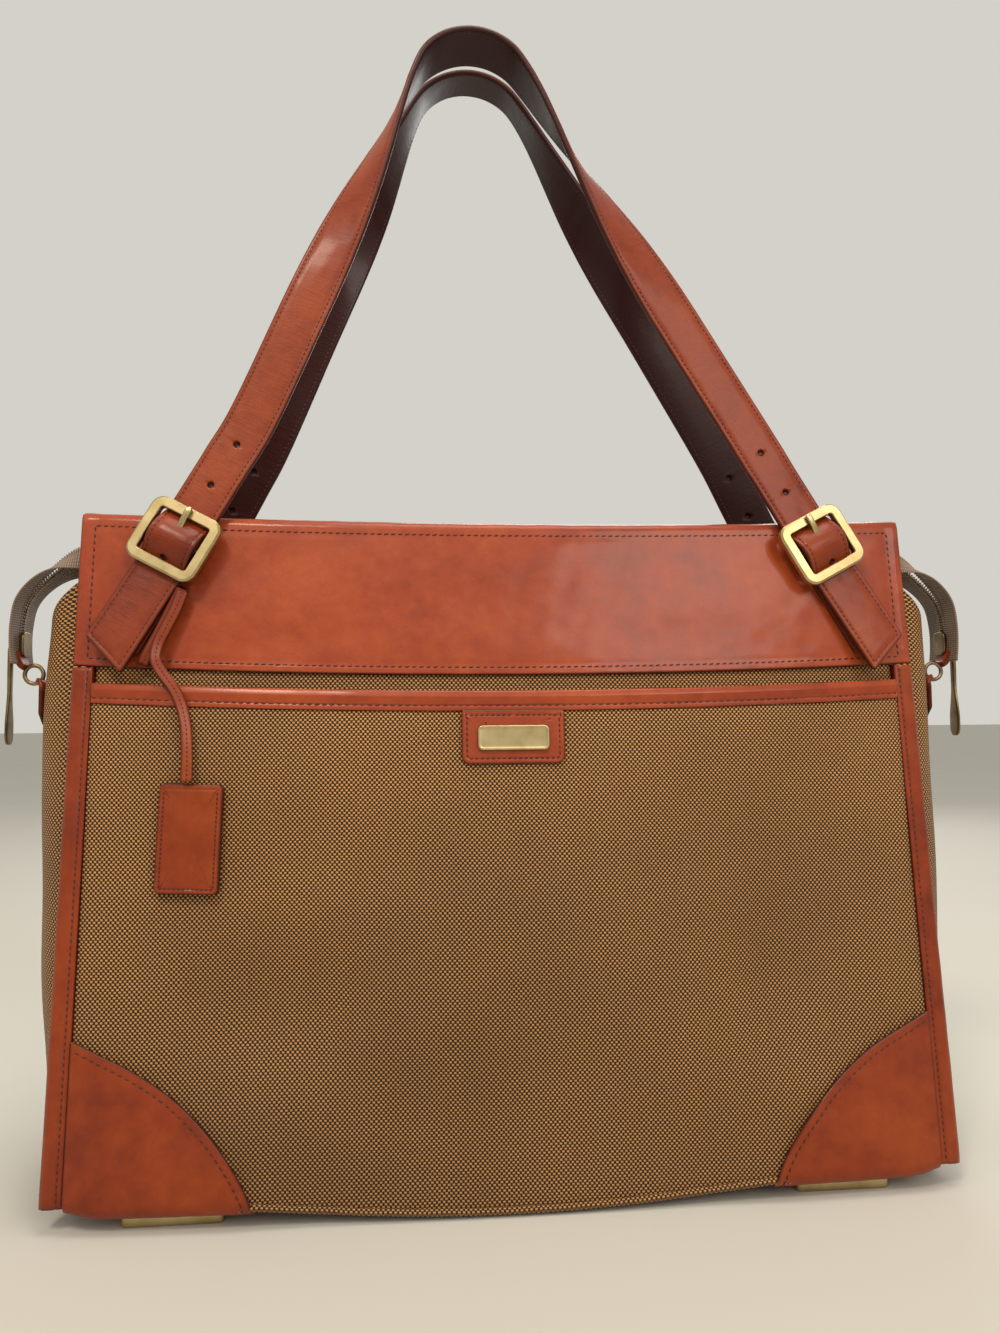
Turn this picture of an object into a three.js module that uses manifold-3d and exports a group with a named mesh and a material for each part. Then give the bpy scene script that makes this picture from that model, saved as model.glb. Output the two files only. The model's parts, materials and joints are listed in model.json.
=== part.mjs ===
// A soft-sided tote bag: woven nylon shell, leather trim, two strap handles on square
// centre-bar buckles, a luggage tag on a lace, four brass feet and an open top zip.
// Millimetres. +X is the wearer's right seen from the front, the front faces -Y, +Z is up.
// The origin is on the floor under the middle of the bag, which stands on its feet.

import * as THREE from 'three';
import { mergeVertices } from 'three/addons/utils/BufferGeometryUtils.js';
import Module from 'manifold-3d';

const wasm = await Module();
wasm.setup();

// ---------------------------------------------------------------- driving dimensions

const halfWidth = 214;         // centre to the outer side of the edge bindings
const rimZ = 333.5;            // top of the leather band at its corners
const rimSag = 5;              // how far the rim dips between the buckles
const cornerZ = 12;            // height where the front is widest apart from the back
const rimHalfDepth = 20;       // half the bag's depth at the rim, beside the gussets
const baseHalfDepth = 60;      // half its depth at the base
const frontBulge = 6;          // how far the middle of the front stands out, all the way up
const bellyBulge = 5;          // and what the belly adds half way up
const fabric = 2.2;            // nylon with its padding and backing
const leather = 2;             // a single trim layer
const gap = 0.4;               // clearance between neighbouring pieces
const feltGap = 0.6;           // clearance of the loose lining

const bandLowZ = 255;          // lower edge of the leather band at the sides
const bandLowSag = 6;          // the band's lower edge dips in the middle
const pocketTopZ = 247;        // pocket mouth at the sides
const pocketTopSag = 6;
const pocketHem = 10;          // height of the leather strip on the pocket's mouth
const pocketSlack = 8;         // how far the pocket's mouth stands off the front panel
const bindingIn = 204;         // inner side of the edge bindings
const panelHalf = 203.4;       // half width of the front, back and pocket panels

const gussetEdgeX = 207;       // where a gusset leaves the binding
const gussetBulge = 23;        // how far it swells past the binding half way up
const gussetTopZ = 306;        // its top at the bindings
const gussetDip = 26;          // and how much lower its top is in the middle

const footSize = [46, 18, 5.7];
const footX = 157;
const footY = 50;
const boardSize = [366, 96];

const strapWidth = 25.4;
const strapThick = 3.2;
const buckleX = 165;           // buckle centres
const buckleZ = 316;
const buckleLean = 28.5;       // degrees from upright, towards the middle
const buckleWide = 38;         // outer size of the square frame
const buckleTall = 35;
const buckleBar = 4.4;
const barRecess = 5.6;         // height of the centre bar over the band
const strapUnder = 2.8;        // height of the strap's back where the frame holds it down
const frameBack = 6.3;         // height of the frame's back
const strapEnd = 66;           // buckle centre to the free end of the strap
const hingeZ = 343;            // the height about which a handle folds over its buckles
const cutAbove = 16;           // the handle solid starts this far above that height
const holePitch = 25;          // spacing of the strap's adjusting holes
const tongueHole = 8.5;        // buckle centre to the hole that the tongue is in
const crownX = -16;            // the handles lean a little to the bag's left
const crownY = 15.2;
const crownZ = 561.5;
const crownRadius = 33;

const zipZ = 311;              // middle of the zip tape along the mouth
const zipWidth = 14;
const zipThick = 1;
const sliderX = 250.7;
const tapeTail = 80;           // length over which the tape turns flat at each end
const sliderZ = 268;
const pullLength = 50;

// ---------------------------------------------------------------- small helpers

const point = (x, y, z) => new THREE.Vector3(x, y, z);
const lerp = THREE.MathUtils.lerp;
const step = THREE.MathUtils.smoothstep;
const rad = THREE.MathUtils.degToRad;
const range = (a, b, n) => Array.from({ length: n + 1 }, (_, i) => lerp(a, b, i / n));

// Turns a closed surface the right way out, by the sign of its volume.
function facingOut(positions, index) {
  let volume = 0;
  for (let i = 0; i < index.length; i += 3) {
    const [a, b, c] = [positions[index[i]], positions[index[i + 1]], positions[index[i + 2]]];
    volume += a.dot(b.clone().cross(c));
  }
  if (volume < 0) {
    index.reverse();
  }
  const geometry = new THREE.BufferGeometry().setFromPoints(positions);
  geometry.setIndex(index);
  return geometry;
}

// Triangles over a flat or nearly flat closed outline.
function capOf(outline) {
  const normal = point(0, 0, 0);
  outline.forEach((p, i) => {
    const q = outline[(i + 1) % outline.length];
    normal.add(p.clone().cross(q));
  });
  const size = [Math.abs(normal.x), Math.abs(normal.y), Math.abs(normal.z)];
  const drop = size.indexOf(Math.max(...size));
  const [i, j] = [0, 1, 2].filter((k) => k !== drop);
  const flat = outline.map((p) => new THREE.Vector2(p.getComponent(i), p.getComponent(j)));
  return THREE.ShapeUtils.triangulateShape(flat, []);
}

// A closed solid through a row of closed outlines that have as many points each.
function loft(outlines) {
  const n = outlines[0].length;
  const index = [];
  for (let row = 0; row < outlines.length - 1; row++) {
    for (let k = 0; k < n; k++) {
      const a = row * n + k;
      const b = row * n + (k + 1) % n;
      index.push(a, b, b + n, a, b + n, a + n);
    }
  }
  const last = (outlines.length - 1) * n;
  const start = capOf(outlines[0]);
  const end = capOf(outlines[outlines.length - 1]);
  const startTurn = windsLike(outlines[0], start[0]);
  const endTurn = windsLike(outlines[outlines.length - 1], end[0]);
  start.forEach(([a, b, c]) => index.push(...(startTurn ? [a, c, b] : [a, b, c])));
  end.forEach(([a, b, c]) => index.push(...(endTurn ? [a, b, c] : [a, c, b]).map((k) => k + last)));
  return facingOut(outlines.flat(), index);
}

// Whether a cap triangle runs round its outline in the order of the outline's points.
function windsLike(outline, [a, b, c]) {
  const order = [a, b, c];
  const turns = order.filter((k, i) => k > order[(i + 1) % 3]).length;
  return turns === 1;
}

// A sheet with a thickness, over u and v from 0 to 1.
function sheet(columns, rows, outer, inner) {
  return loft(range(0, 1, columns).map((u) => [
    ...range(0, 1, rows).map((v) => outer(u, v)),
    ...range(1, 0, rows).map((v) => inner(u, v)),
  ]));
}

function solidOf(geometry) {
  const bare = geometry.clone();
  bare.deleteAttribute('normal');
  bare.deleteAttribute('uv');
  const merged = mergeVertices(bare, 1e-4);
  const mesh = new wasm.Mesh({
    numProp: 3,
    vertProperties: new Float32Array(merged.attributes.position.array),
    triVerts: new Uint32Array(merged.index.array),
  });
  return new wasm.Manifold(mesh);
}

function geometryOf(solid) {
  const mesh = solid.getMesh();
  const geometry = new THREE.BufferGeometry();
  geometry.setAttribute('position', new THREE.BufferAttribute(mesh.vertProperties, 3));
  geometry.setIndex(new THREE.BufferAttribute(mesh.triVerts, 1));
  return geometry;
}

const cut = (body, ...tools) =>
  geometryOf(tools.reduce((rest, tool) => rest.subtract(solidOf(tool)), solidOf(body)));
const join = (a, b) => geometryOf(solidOf(a).add(solidOf(b)));

function boxBetween(low, high) {
  const size = high.map((h, i) => h - low[i]);
  const box = new THREE.BoxGeometry(...size);
  return box.translate(...high.map((h, i) => (h + low[i]) / 2));
}

function roundedRectangle(width, height, radius, path = new THREE.Shape()) {
  const [x, y] = [width / 2, height / 2];
  path.moveTo(-x + radius, -y);
  path.lineTo(x - radius, -y);
  path.absarc(x - radius, -y + radius, radius, -Math.PI / 2, 0);
  path.lineTo(x, y - radius);
  path.absarc(x - radius, y - radius, radius, 0, Math.PI / 2);
  path.lineTo(-x + radius, y);
  path.absarc(-x + radius, y - radius, radius, Math.PI / 2, Math.PI);
  path.lineTo(-x, -y + radius);
  path.absarc(-x + radius, -y + radius, radius, Math.PI, 1.5 * Math.PI);
  return path;
}

const extrude = (shape, depth, curveSegments = 4) =>
  new THREE.ExtrudeGeometry(shape, { depth, curveSegments, bevelEnabled: false });

// A band along a list of stations, each with a middle, a width direction and a face direction.
function strip(stations, width, thick) {
  return loft(stations.map(({ at, side, face }) => [[-1, -1], [1, -1], [1, 1], [-1, 1]].map(
    ([i, j]) => at.clone().addScaledVector(side, i * width / 2).addScaledVector(face, j * thick / 2),
  )));
}

// ---------------------------------------------------------------- the bag's shape

const front = -1;
const back = 1;
const left = -1;
const right = 1;

const halfDepth = (z) => lerp(baseHalfDepth, rimHalfDepth, (z - cornerZ) / (rimZ - cornerZ));
const bulge = (z) => frontBulge + bellyBulge * Math.sin(Math.PI * (z - cornerZ) / (rimZ - cornerZ));
const crown = (x) => 1 - (x / halfWidth) ** 2;
const backExtra = 2.4;         // the plain back swells as far as the front's second layer

// A point on the front or back, at a distance out from the outer face of its woven panel.
function onFace(side, x, z, out) {
  const swell = bulge(z) + (side === back ? backExtra : 0);
  return point(x, side * (halfDepth(z) + swell * crown(x) + out), z);
}

const rimAt = (x) => rimZ - rimSag * crown(x);
const bandLowAt = (x) => bandLowZ - bandLowSag * crown(x);
const pocketTopAt = (x) => pocketTopZ - pocketTopSag * crown(x);
const pocketOut = (x, z) =>
  gap + leather + pocketSlack * (1 - (x / halfWidth) ** 4) * step(z, 150, pocketTopZ - pocketHem);

// Underside of the woven base: it sags in the middle, lies flat over the feet, and
// turns up at the ends.
const sagHalf = 118;
const sagDeep = 6.7;
const footShelf = 8.4;
function baseAt(x) {
  const reach = Math.abs(x);
  if (reach < sagHalf) {
    return footShelf - sagDeep * (1 - (reach / sagHalf) ** 2);
  }
  return footShelf + 8 * (Math.max(reach - 184, 0) / 30) ** 2;
}

const gussetHalf = (z) => halfDepth(z) - 5.6;
const swellAt = (z) => gussetBulge * (1 - Math.exp(-z / 50));
const gussetX = (v, z) =>
  gussetEdgeX + (halfWidth - gussetEdgeX + swellAt(z)) * (1 - Math.abs(v) ** 2.5);
const gussetTop = (v) => gussetTopZ - gussetDip * (1 - v * v);

// A frame of axes on a face: across, up the surface and leaning, and out of it.
function frameOn(side, x, z, out, leanDegrees = 0) {
  const at = (dx, dz) => onFace(side, x + dx, z + dz, out(x + dx, z + dz));
  const across = at(0.5, 0).sub(at(-0.5, 0)).normalize();
  const up = at(0, 0.5).sub(at(0, -0.5)).normalize();
  const normal = across.clone().cross(up);
  normal.multiplyScalar(Math.sign(normal.y) === side ? 1 : -1).normalize();
  const lean = rad(leanDegrees) * -Math.sign(x);
  const along = up.multiplyScalar(Math.cos(lean)).addScaledVector(across, Math.sin(lean));
  along.addScaledVector(normal, -along.dot(normal)).normalize();
  const sideways = along.clone().cross(normal);
  const matrix = new THREE.Matrix4().makeBasis(sideways, along, normal);
  matrix.setPosition(at(0, 0));
  return matrix;
}

const place = (matrix, s, v, n) => point(s, v, n).applyMatrix4(matrix);

function groupAt(matrix) {
  const group = new THREE.Group();
  matrix.decompose(group.position, group.quaternion, group.scale);
  return group;
}

// ---------------------------------------------------------------- finishes

const finish = (color, roughness, metalness = 0) =>
  new THREE.MeshStandardMaterial({ color, roughness, metalness });
const nylon = finish(0x8a6a3c, 0.8);
const cognac = finish(0x9c4a24, 0.45);
const brass = finish(0xc7ad7a, 0.35, 1);
const bronze = finish(0x6e6250, 0.4, 1);
const tape = finish(0x6b5a4c, 0.85);
const cloth = finish(0x3a322c, 0.9);
const board = finish(0x2b2a28, 0.9);

const bag = new THREE.Group();

function add(name, geometry, material, parent = bag) {
  const mesh = new THREE.Mesh(geometry, material);
  mesh.name = name;
  parent.add(mesh);
}

// ---------------------------------------------------------------- shell

function facePanel(side, outAt, thick, topAt) {
  const at = (u, v, out) => {
    const x = lerp(-panelHalf, panelHalf, u);
    const z = lerp(baseAt(x), topAt(x), v);
    return onFace(side, x, z, outAt(x, z) + out);
  };
  return sheet(12, 8, (u, v) => at(u, v, 0), (u, v) => at(u, v, -thick));
}

function gusset(side) {
  const at = (u, v, inward) => {
    const w = lerp(-1, 1, u);
    const lowX = gussetX(w, 16);
    const z = lerp(baseAt(lowX), gussetTop(w), v);
    return point(side * (gussetX(w, z) - inward), w * gussetHalf(z), z);
  };
  return sheet(10, 8, (u, v) => at(u, v, 0), (u, v) => at(u, v, fabric));
}

function bottomPanel() {
  const at = (u, v, rise) => {
    const [i, j] = [lerp(-1, 1, u), lerp(-1, 1, v)];
    const reachX = gussetX(j, 16) - fabric - gap;
    const x = i * (reachX - 1.4);
    const z = baseAt(x);
    const edge = onFace(j < 0 ? front : back, x, z, -fabric - gap);
    return point(x, Math.abs(j) * edge.y, z + rise);
  };
  return sheet(16, 6, (u, v) => at(u, v, 0), (u, v) => at(u, v, fabric));
}

function topBand(side) {
  return loft(range(-halfWidth, halfWidth, 14).map((x) => {
    const top = rimAt(x);
    const low = bandLowAt(x);
    const middle = (top + low) / 2;
    const tuck = -fabric - gap;
    const outline = [
      [low, gap], [middle, gap], [top - leather - gap, gap], [top - leather - gap, tuck], [top - 16, tuck],
      [top - 16, tuck - leather], [top, tuck - leather], [top, gap + leather],
      [middle, gap + leather], [low, gap + leather],
    ];
    return outline.map(([z, out]) => onFace(side, x, z, out));
  }));
}

function edgeBinding(side, hand) {
  const outline = [[0, -4.8], [8.5, -4.8], [10.5, -3], [10.5, 1.2], [8.5, 3], [0, 3]];
  return loft(range(15, bandLowZ - gap - 0.6, 9).map((z) => outline.map(([dx, out]) => {
    const x = bindingIn + dx;
    return onFace(side, hand * x, z, out);
  })));
}

// A leather corner: up the face inside a curve, round the base edge and back under it.
const cornerHigh = 72;
const cornerWide = 84;
const cornerPower = 1.5;
const underReach = 58;

function cornerPatch(side, hand) {
  const seat = side === front ? gap + leather + gap : gap;
  return loft(range(0, 1, 8).map((t) => {
    const x = lerp(panelHalf - cornerWide, panelHalf, t ** 0.8);
    const away = 1 - (x - (panelHalf - cornerWide)) / cornerWide;
    const low = baseAt(x);
    const rise = cornerHigh * (1 - away ** cornerPower) ** (1 / cornerPower);
    const bend = low + 3;
    const top = Math.max(low + rise, bend + 1.5);
    const half = (top + bend) / 2;
    const under = low - leather - 0.2;
    const outer = (z) => onFace(side, hand * x, z, seat + leather - 0.2);
    const inner = (z) => onFace(side, hand * x, z, seat);
    const flat = (z) => point(hand * x, side * underReach, z);
    const heel = outer(under);
    heel.y -= side * 1.5;
    return [
      outer(top), outer(half), outer(bend), heel, flat(under), flat(low - 0.9),
      inner(low - 0.9), inner(half), inner(top),
    ];
  }));
}

function pocketStrip() {
  const at = (u, v, out) => {
    const x = lerp(-panelHalf, panelHalf, u);
    const z = pocketTopAt(x) - pocketHem * (1 - v);
    return onFace(front, x, z, pocketOut(x, z) + out);
  };
  return sheet(12, 1, (u, v) => at(u, v, 1), (u, v) => at(u, v, -leather));
}

function foot() {
  const [wide, deep, high] = footSize;
  return extrude(roundedRectangle(wide, deep, 2), high, 2);
}

function baseBoard() {
  return extrude(roundedRectangle(...boardSize, 12), 2.4, 3);
}

// The lining hangs inside the shell like a second bag.
function liningBag() {
  const around = [];
  range(-1, 1, 8).forEach((u) => around.push({ u, v: -1 }));
  range(-0.7, 0.7, 4).forEach((v) => around.push({ u: 1, v }));
  range(1, -1, 8).forEach((u) => around.push({ u, v: 1 }));
  range(0.7, -0.7, 4).forEach((v) => around.push({ u: -1, v }));
  const floorZ = 13.9;
  const ring = (f, inward) => around.map(({ u, v }) => {
    const flank = Math.abs(v) < 1;
    const topZ = flank ? gussetTop(v) - 5 : Math.min(gussetTopZ - 8, 296);
    const z = lerp(floorZ, topZ, f) + (f === 0 ? inward : 0);
    const wide = f === 0 ? 0.88 : 1;
    const skin = fabric + feltGap + inward + (flank ? 2 : 0);
    if (flank) {
      return point(Math.sign(u) * wide * (gussetX(v, z) - skin), v * gussetHalf(z) * wide, z);
    }
    const x = u * 197 * wide;
    const wall = onFace(v < 0 ? front : back, x, z, -skin - 2);
    return point(x, wall.y * (f === 0 ? 0.93 : 1), z);
  });
  const heights = [0, 0.14, 0.38, 0.62, 0.84, 1];
  const outside = heights.map((f) => ring(f, 0));
  const inside = heights.map((f) => ring(f, 1)).reverse();
  return loft([...outside, ...inside]);
}

add('front_panel', facePanel(front, () => 0, fabric, (x) => rimAt(x) - leather - 2 * gap), nylon);
add('back_panel', facePanel(back, () => 0, fabric, (x) => rimAt(x) - leather - 2 * gap), nylon);
add('front_pocket', facePanel(front, pocketOut, leather, (x) => pocketTopAt(x) - pocketHem - gap), nylon);
add('left_gusset', gusset(left), nylon);
add('right_gusset', gusset(right), nylon);
add('bottom_panel', bottomPanel(), nylon);
add('front_top_band', topBand(front), cognac);
add('back_top_band', topBand(back), cognac);
add('pocket_binding', pocketStrip(), cognac);
add('lining', liningBag(), cloth);

const baseGroup = new THREE.Group();
baseGroup.position.z = 11.1;
bag.add(baseGroup);
add('base_board', baseBoard(), board, baseGroup);

for (const [side, sideName] of [[front, 'front'], [back, 'back']]) {
  for (const [hand, handName] of [[left, 'left'], [right, 'right']]) {
    add(`${sideName}_${handName}_binding`, edgeBinding(side, hand), cognac);
    add(`${sideName}_${handName}_corner`, cornerPatch(side, hand), cognac);
    const footGroup = new THREE.Group();
    footGroup.position.set(hand * footX, side * footY, 0);
    bag.add(footGroup);
    add(`${sideName}_${handName}_foot`, foot(), brass, footGroup);
  }
}

// ---------------------------------------------------------------- badge on the pocket

const badgeZ = 218;
const badgeGroup = groupAt(frameOn(front, 0, badgeZ, (x, z) => pocketOut(x, z) + 0.7));
bag.add(badgeGroup);
add('badge_patch', extrude(roundedRectangle(50, 25, 4), 1.8, 3), cognac, badgeGroup);
const plate = extrude(roundedRectangle(34.4, 11.8, 3), 1.4, 3).translate(0, 0, 2.1);
add('badge_plate', plate, brass, badgeGroup);

// ---------------------------------------------------------------- buckles and strap ends
// In a buckle's own axes: s across the strap, v up it, n out of the bag.

const barRadius = 1.8;
const loopInner = 2.1;
const loopOuter = 3.9;
const tongueHalf = 1.6;

// Height of the strap's back: down under the two outer bars, up over the centre bar, and
// standing off a little towards its free end.
function strapBack(v) {
  const inside = (buckleTall / 2) - buckleBar;
  const over = Math.abs(v) < inside ? Math.cos(Math.PI * v / (2 * inside)) ** 2 : 0;
  const standOff = 0.06 * Math.max(-v - buckleTall / 2, 0);
  return strapUnder + 7 * over + standOff;
}

function buckleFrame() {
  const shape = roundedRectangle(buckleWide, buckleTall, 7);
  const window = roundedRectangle(buckleWide - 2 * buckleBar, buckleTall - 2 * buckleBar, 1.6, new THREE.Path());
  shape.holes.push(window);
  const bevel = 0.7;
  const frame = new THREE.ExtrudeGeometry(shape, {
    depth: buckleBar - 2 * bevel,
    curveSegments: 2,
    bevelThickness: bevel,
    bevelSize: bevel,
    bevelOffset: -bevel,
    bevelSegments: 1,
  });
  frame.translate(0, 0, frameBack + bevel);
  const bar = new THREE.CylinderGeometry(barRadius, barRadius, 2 * 16.4, 8);
  bar.rotateZ(Math.PI / 2).translate(0, 0, barRecess);
  return join(frame, bar);
}

// Stands a shape drawn in v and n across the strap, width wide.
function across(shape, width, segments = 5) {
  const geometry = extrude(shape, width, segments);
  const basis = new THREE.Matrix4().makeBasis(point(0, 1, 0), point(0, 0, 1), point(1, 0, 0));
  return geometry.translate(0, 0, -width / 2).applyMatrix4(basis);
}

function ringHole() {
  const hole = new THREE.Path();
  hole.absarc(0, barRecess, loopInner, 0, 2 * Math.PI);
  return hole;
}

function chape() {
  const low = gap;
  const high = gap + leather;
  const meet = Math.acos((barRecess - high) / loopOuter);
  const shape = new THREE.Shape();
  shape.moveTo(-58, low);
  shape.lineTo(-58, high);
  shape.lineTo(-Math.sin(meet) * loopOuter, high);
  shape.absarc(0, barRecess, loopOuter, -Math.PI / 2 - meet, -Math.PI / 2, true);
  shape.lineTo(-1.4, low);
  shape.holes.push(ringHole());
  const slot = boxBetween([-2.3, -6, -1], [2.3, 8, 12]);
  return cut(across(shape, strapWidth), slot);
}

function tongue() {
  const shape = new THREE.Shape();
  const root = 3.4;
  shape.absarc(0, barRecess, root, rad(75), rad(355));
  shape.lineTo(12.6, 11.05);
  shape.lineTo(17.3, 11.05);
  shape.lineTo(17.3, 12.6);
  shape.lineTo(15.8, 13.6);
  shape.lineTo(11.5, 13.4);
  shape.holes.push(ringHole());
  return across(shape, 2 * tongueHalf);
}

const holeTool = (v) =>
  new THREE.CylinderGeometry(1.7, 1.7, 30, 8).rotateX(Math.PI / 2).translate(0, v, 5);

// The strap from just above its buckle to its slanted free end. Its upper end is cut level.
function strapTail(matrix, hand) {
  const e = matrix.elements;
  const level = (s, n) => (hingeZ + cutAbove - 0.4 - e[14] - s * e[2] - n * e[10]) / e[6];
  const slant = Math.tan(rad(18)) * hand;
  const edge = buckleTall / 2;
  const inside = edge - buckleBar;
  const stops = [edge, ...range(inside, -inside, 16), -edge, -34, -50];
  const section = (vAt) => [[-1, 0], [1, 0], [1, 1], [-1, 1]].map(([i, j]) => {
    const s = i * strapWidth / 2;
    const v = vAt(s, strapUnder + j * strapThick);
    return point(s, v, strapBack(v) + j * strapThick);
  });
  const rows = [
    section(level),
    ...stops.map((v) => section(() => v)),
    section((s) => -strapEnd + s * slant),
  ];
  const slot = boxBetween([-2.3, 0.8, -2], [2.3, 10, 16]);
  return cut(loft(rows), slot, holeTool(tongueHole - holePitch), holeTool(tongueHole + holePitch));
}

const buckles = {};

for (const [side, sideName] of [[front, 'front'], [back, 'back']]) {
  for (const [hand, handName] of [[left, 'left'], [right, 'right']]) {
    const bandFace = () => gap + leather;
    const matrix = frameOn(side, hand * buckleX, buckleZ, bandFace, buckleLean);
    buckles[`${sideName}_${handName}`] = matrix;
    const group = groupAt(matrix);
    bag.add(group);
    add(`${sideName}_${handName}_buckle`, buckleFrame(), brass, group);
    add(`${sideName}_${handName}_tongue`, tongue(), brass, group);
    add(`${sideName}_${handName}_chape`, chape(), cognac, group);
    add(`${sideName}_${handName}_strap_end`, strapTail(matrix, hand * side * -1), cognac, group);
  }
}

// ---------------------------------------------------------------- handles

// The middle line of a handle: up from one buckle, round the crown and down to the other.
// It leaves each buckle along the buckle's own lean and meets the crown's circle as a tangent.
function handleLine(side) {
  const name = side === front ? 'front' : 'back';
  const rest = strapUnder + strapThick / 2;
  const ends = [left, right].map((hand) => {
    const matrix = buckles[`${name}_${hand === left ? 'left' : 'right'}`];
    const e = matrix.elements;
    const v = (hingeZ + cutAbove - e[14] - rest * e[10]) / e[6];
    return [place(matrix, 0, v, rest), place(matrix, 0, v + 22, rest)];
  });
  const middle = point(crownX, side * crownY, crownZ);
  const touch = ends.map(([, start], i) => {
    const hand = i === 0 ? left : right;
    const dx = start.x - middle.x;
    const dz = start.z - middle.z;
    const turn = Math.acos(crownRadius / Math.hypot(dx, dz));
    return Math.atan2(dz, dx) + hand * turn;
  });
  const startAngle = touch[0] < 0 ? touch[0] + 2 * Math.PI : touch[0];
  const arc = range(startAngle, touch[1], 6).map((a) =>
    point(middle.x + crownRadius * Math.cos(a), middle.y, middle.z + crownRadius * Math.sin(a)));
  const between = (a, b) => [0.35, 0.7].map((t) => a.clone().lerp(b, t));
  return new THREE.CatmullRomCurve3([
    ...ends[0], ...between(ends[0][1], arc[0]), ...arc,
    ...between(ends[1][1], arc[6]).reverse(), ends[1][1], ends[1][0],
  ], false, 'centripetal');
}

// The strap lies flat to the bag at its buckles and turns a quarter round by the crown,
// where its grain side is uppermost.
function handle(side) {
  const line = handleLine(side);
  const length = line.getLength();
  const name = side === front ? 'front' : 'back';
  const leftFrame = new THREE.Matrix4().extractRotation(buckles[`${name}_left`]);
  const flat = point(0, 0, 1).applyMatrix4(leftFrame);
  flat.x = 0;
  flat.normalize();
  const stations = range(9 / length, 1 - 9 / length, 34).map((t) => {
    const at = line.getPointAt(t);
    const tangent = line.getTangentAt(t);
    const away = Math.abs(t - 0.5) * 2;
    const turn = (Math.PI / 2) * (1 - step(away, 0.06, 0.66));
    const normal = flat.clone().addScaledVector(tangent, -flat.dot(tangent)).normalize();
    const sideways = tangent.clone().cross(normal).multiplyScalar(-side);
    const face = normal.clone().multiplyScalar(Math.cos(turn))
      .addScaledVector(sideways, -Math.sin(turn));
    return { at, side: tangent.clone().cross(face), face };
  });
  const body = strip(stations, strapWidth, strapThick);
  return body;
}

// Joins a handle's swept band to its two level ends at the buckles.
function handleSolid(side) {
  const name = side === front ? 'front' : 'back';
  let body = solidOf(handle(side));
  for (const handName of ['left', 'right']) {
    const matrix = buckles[`${name}_${handName}`];
    const e = matrix.elements;
    const level = (s, n) => (hingeZ + cutAbove - e[14] - s * e[2] - n * e[10]) / e[6];
    const section = (vAt) => [[-1, 0], [1, 0], [1, 1], [-1, 1]].map(([i, j]) => {
      const s = i * strapWidth / 2;
      const n = strapUnder + j * strapThick;
      return point(s, vAt(s, n), n);
    });
    const middle = level(0, strapUnder);
    const end = loft([section(level), section(() => middle + 14)]).applyMatrix4(matrix);
    const hole = holeTool(tongueHole + 2 * holePitch).applyMatrix4(matrix);
    body = body.add(solidOf(end)).subtract(solidOf(hole));
  }
  return geometryOf(body);
}

add('front_handle', handleSolid(front), cognac);
add('back_handle', handleSolid(back), cognac);

// ---------------------------------------------------------------- luggage tag on its lace

// The flat lace comes out from under the strap's free end, bends round below it and hangs
// straight down to the tag.
const laceRadius = 2.2;
const laceRoute = [
  [-160.5, 291], [-163.5, 282], [-167.5, 273], [-171, 264.5], [-171.5, 257], [-167.5, 250], [-162, 243],
  [-158, 235], [-155.5, 226], [-154.5, 217], [-154, 208], [-153.8, 199],
];
const laceOut = [9, 9.4, 9.8, 10.4, 11, 11.6, 12.2, 12.6, 13, 13, 13, 13];

function lace() {
  const line = new THREE.CatmullRomCurve3(
    laceRoute.map(([x, z], i) => onFace(front, x, z, laceOut[i])), false, 'centripetal');
  const shape = new THREE.Shape();
  shape.absarc(0, 0, laceRadius, 0, 2 * Math.PI);
  return new THREE.ExtrudeGeometry(shape, {
    steps: 14, curveSegments: 4, bevelEnabled: false, extrudePath: line,
  });
}

const tagFrame = frameOn(front, -152.5, 172, pocketOut);
const tagGroup = groupAt(tagFrame);
bag.add(tagGroup);
add('tag_lace', lace(), cognac);
const tagBody = extrude(roundedRectangle(30, 51, 2.5), 4.4, 3).rotateZ(rad(-2)).translate(0, 0, 1.2);
add('luggage_tag', tagBody, cognac, tagGroup);

// ---------------------------------------------------------------- zip along the mouth

// A tape runs inside the mouth and on over the gusset at each end, turning from upright
// to flat as it comes down to its slider.
function zipTape(side) {
  const mouth = range(0, 186, 5).map((x) => onFace(side, x, zipZ, -7.6));
  const tail = [
    [199, 14.8, zipZ], [212, 12.6, 312.3], [227, 10.6, 309.5], [240.5, 9, 301.5], [250.8, 7.9, 290],
    [254.2, 7.6, 276],
  ].map(([x, y, z]) => point(x, side * y, z));
  const half = [...mouth, ...tail];
  const mirrored = half.slice(1).reverse().map((p) => point(-p.x, p.y, p.z));
  const line = new THREE.CatmullRomCurve3([...mirrored, ...half], false, 'centripetal');
  // the turning tails need short steps, so that the thin tape's two faces stay apart
  const tailShare = tapeTail / line.getLength();
  const along = [
    ...range(0, tailShare, 40), ...range(tailShare, 1 - tailShare, 12).slice(1, -1),
    ...range(1 - tailShare, 1, 40),
  ];
  const stations = along.map((t) => {
    const at = line.getPointAt(t);
    const tangent = line.getTangentAt(t);
    const turn = (Math.PI / 2) * step(Math.abs(at.x), 196, sliderX);
    const wide = point(0, -side * Math.sin(turn), Math.cos(turn));
    wide.addScaledVector(tangent, -wide.dot(tangent)).normalize();
    return { at, side: wide, face: tangent.clone().cross(wide) };
  });
  return strip(stations, zipWidth, zipThick);
}

add('front_zip_tape', zipTape(front), tape);
add('back_zip_tape', zipTape(back), tape);

function slider() {
  return across(roundedRectangle(11, 13, 3.5), 6, 3);
}

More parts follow.
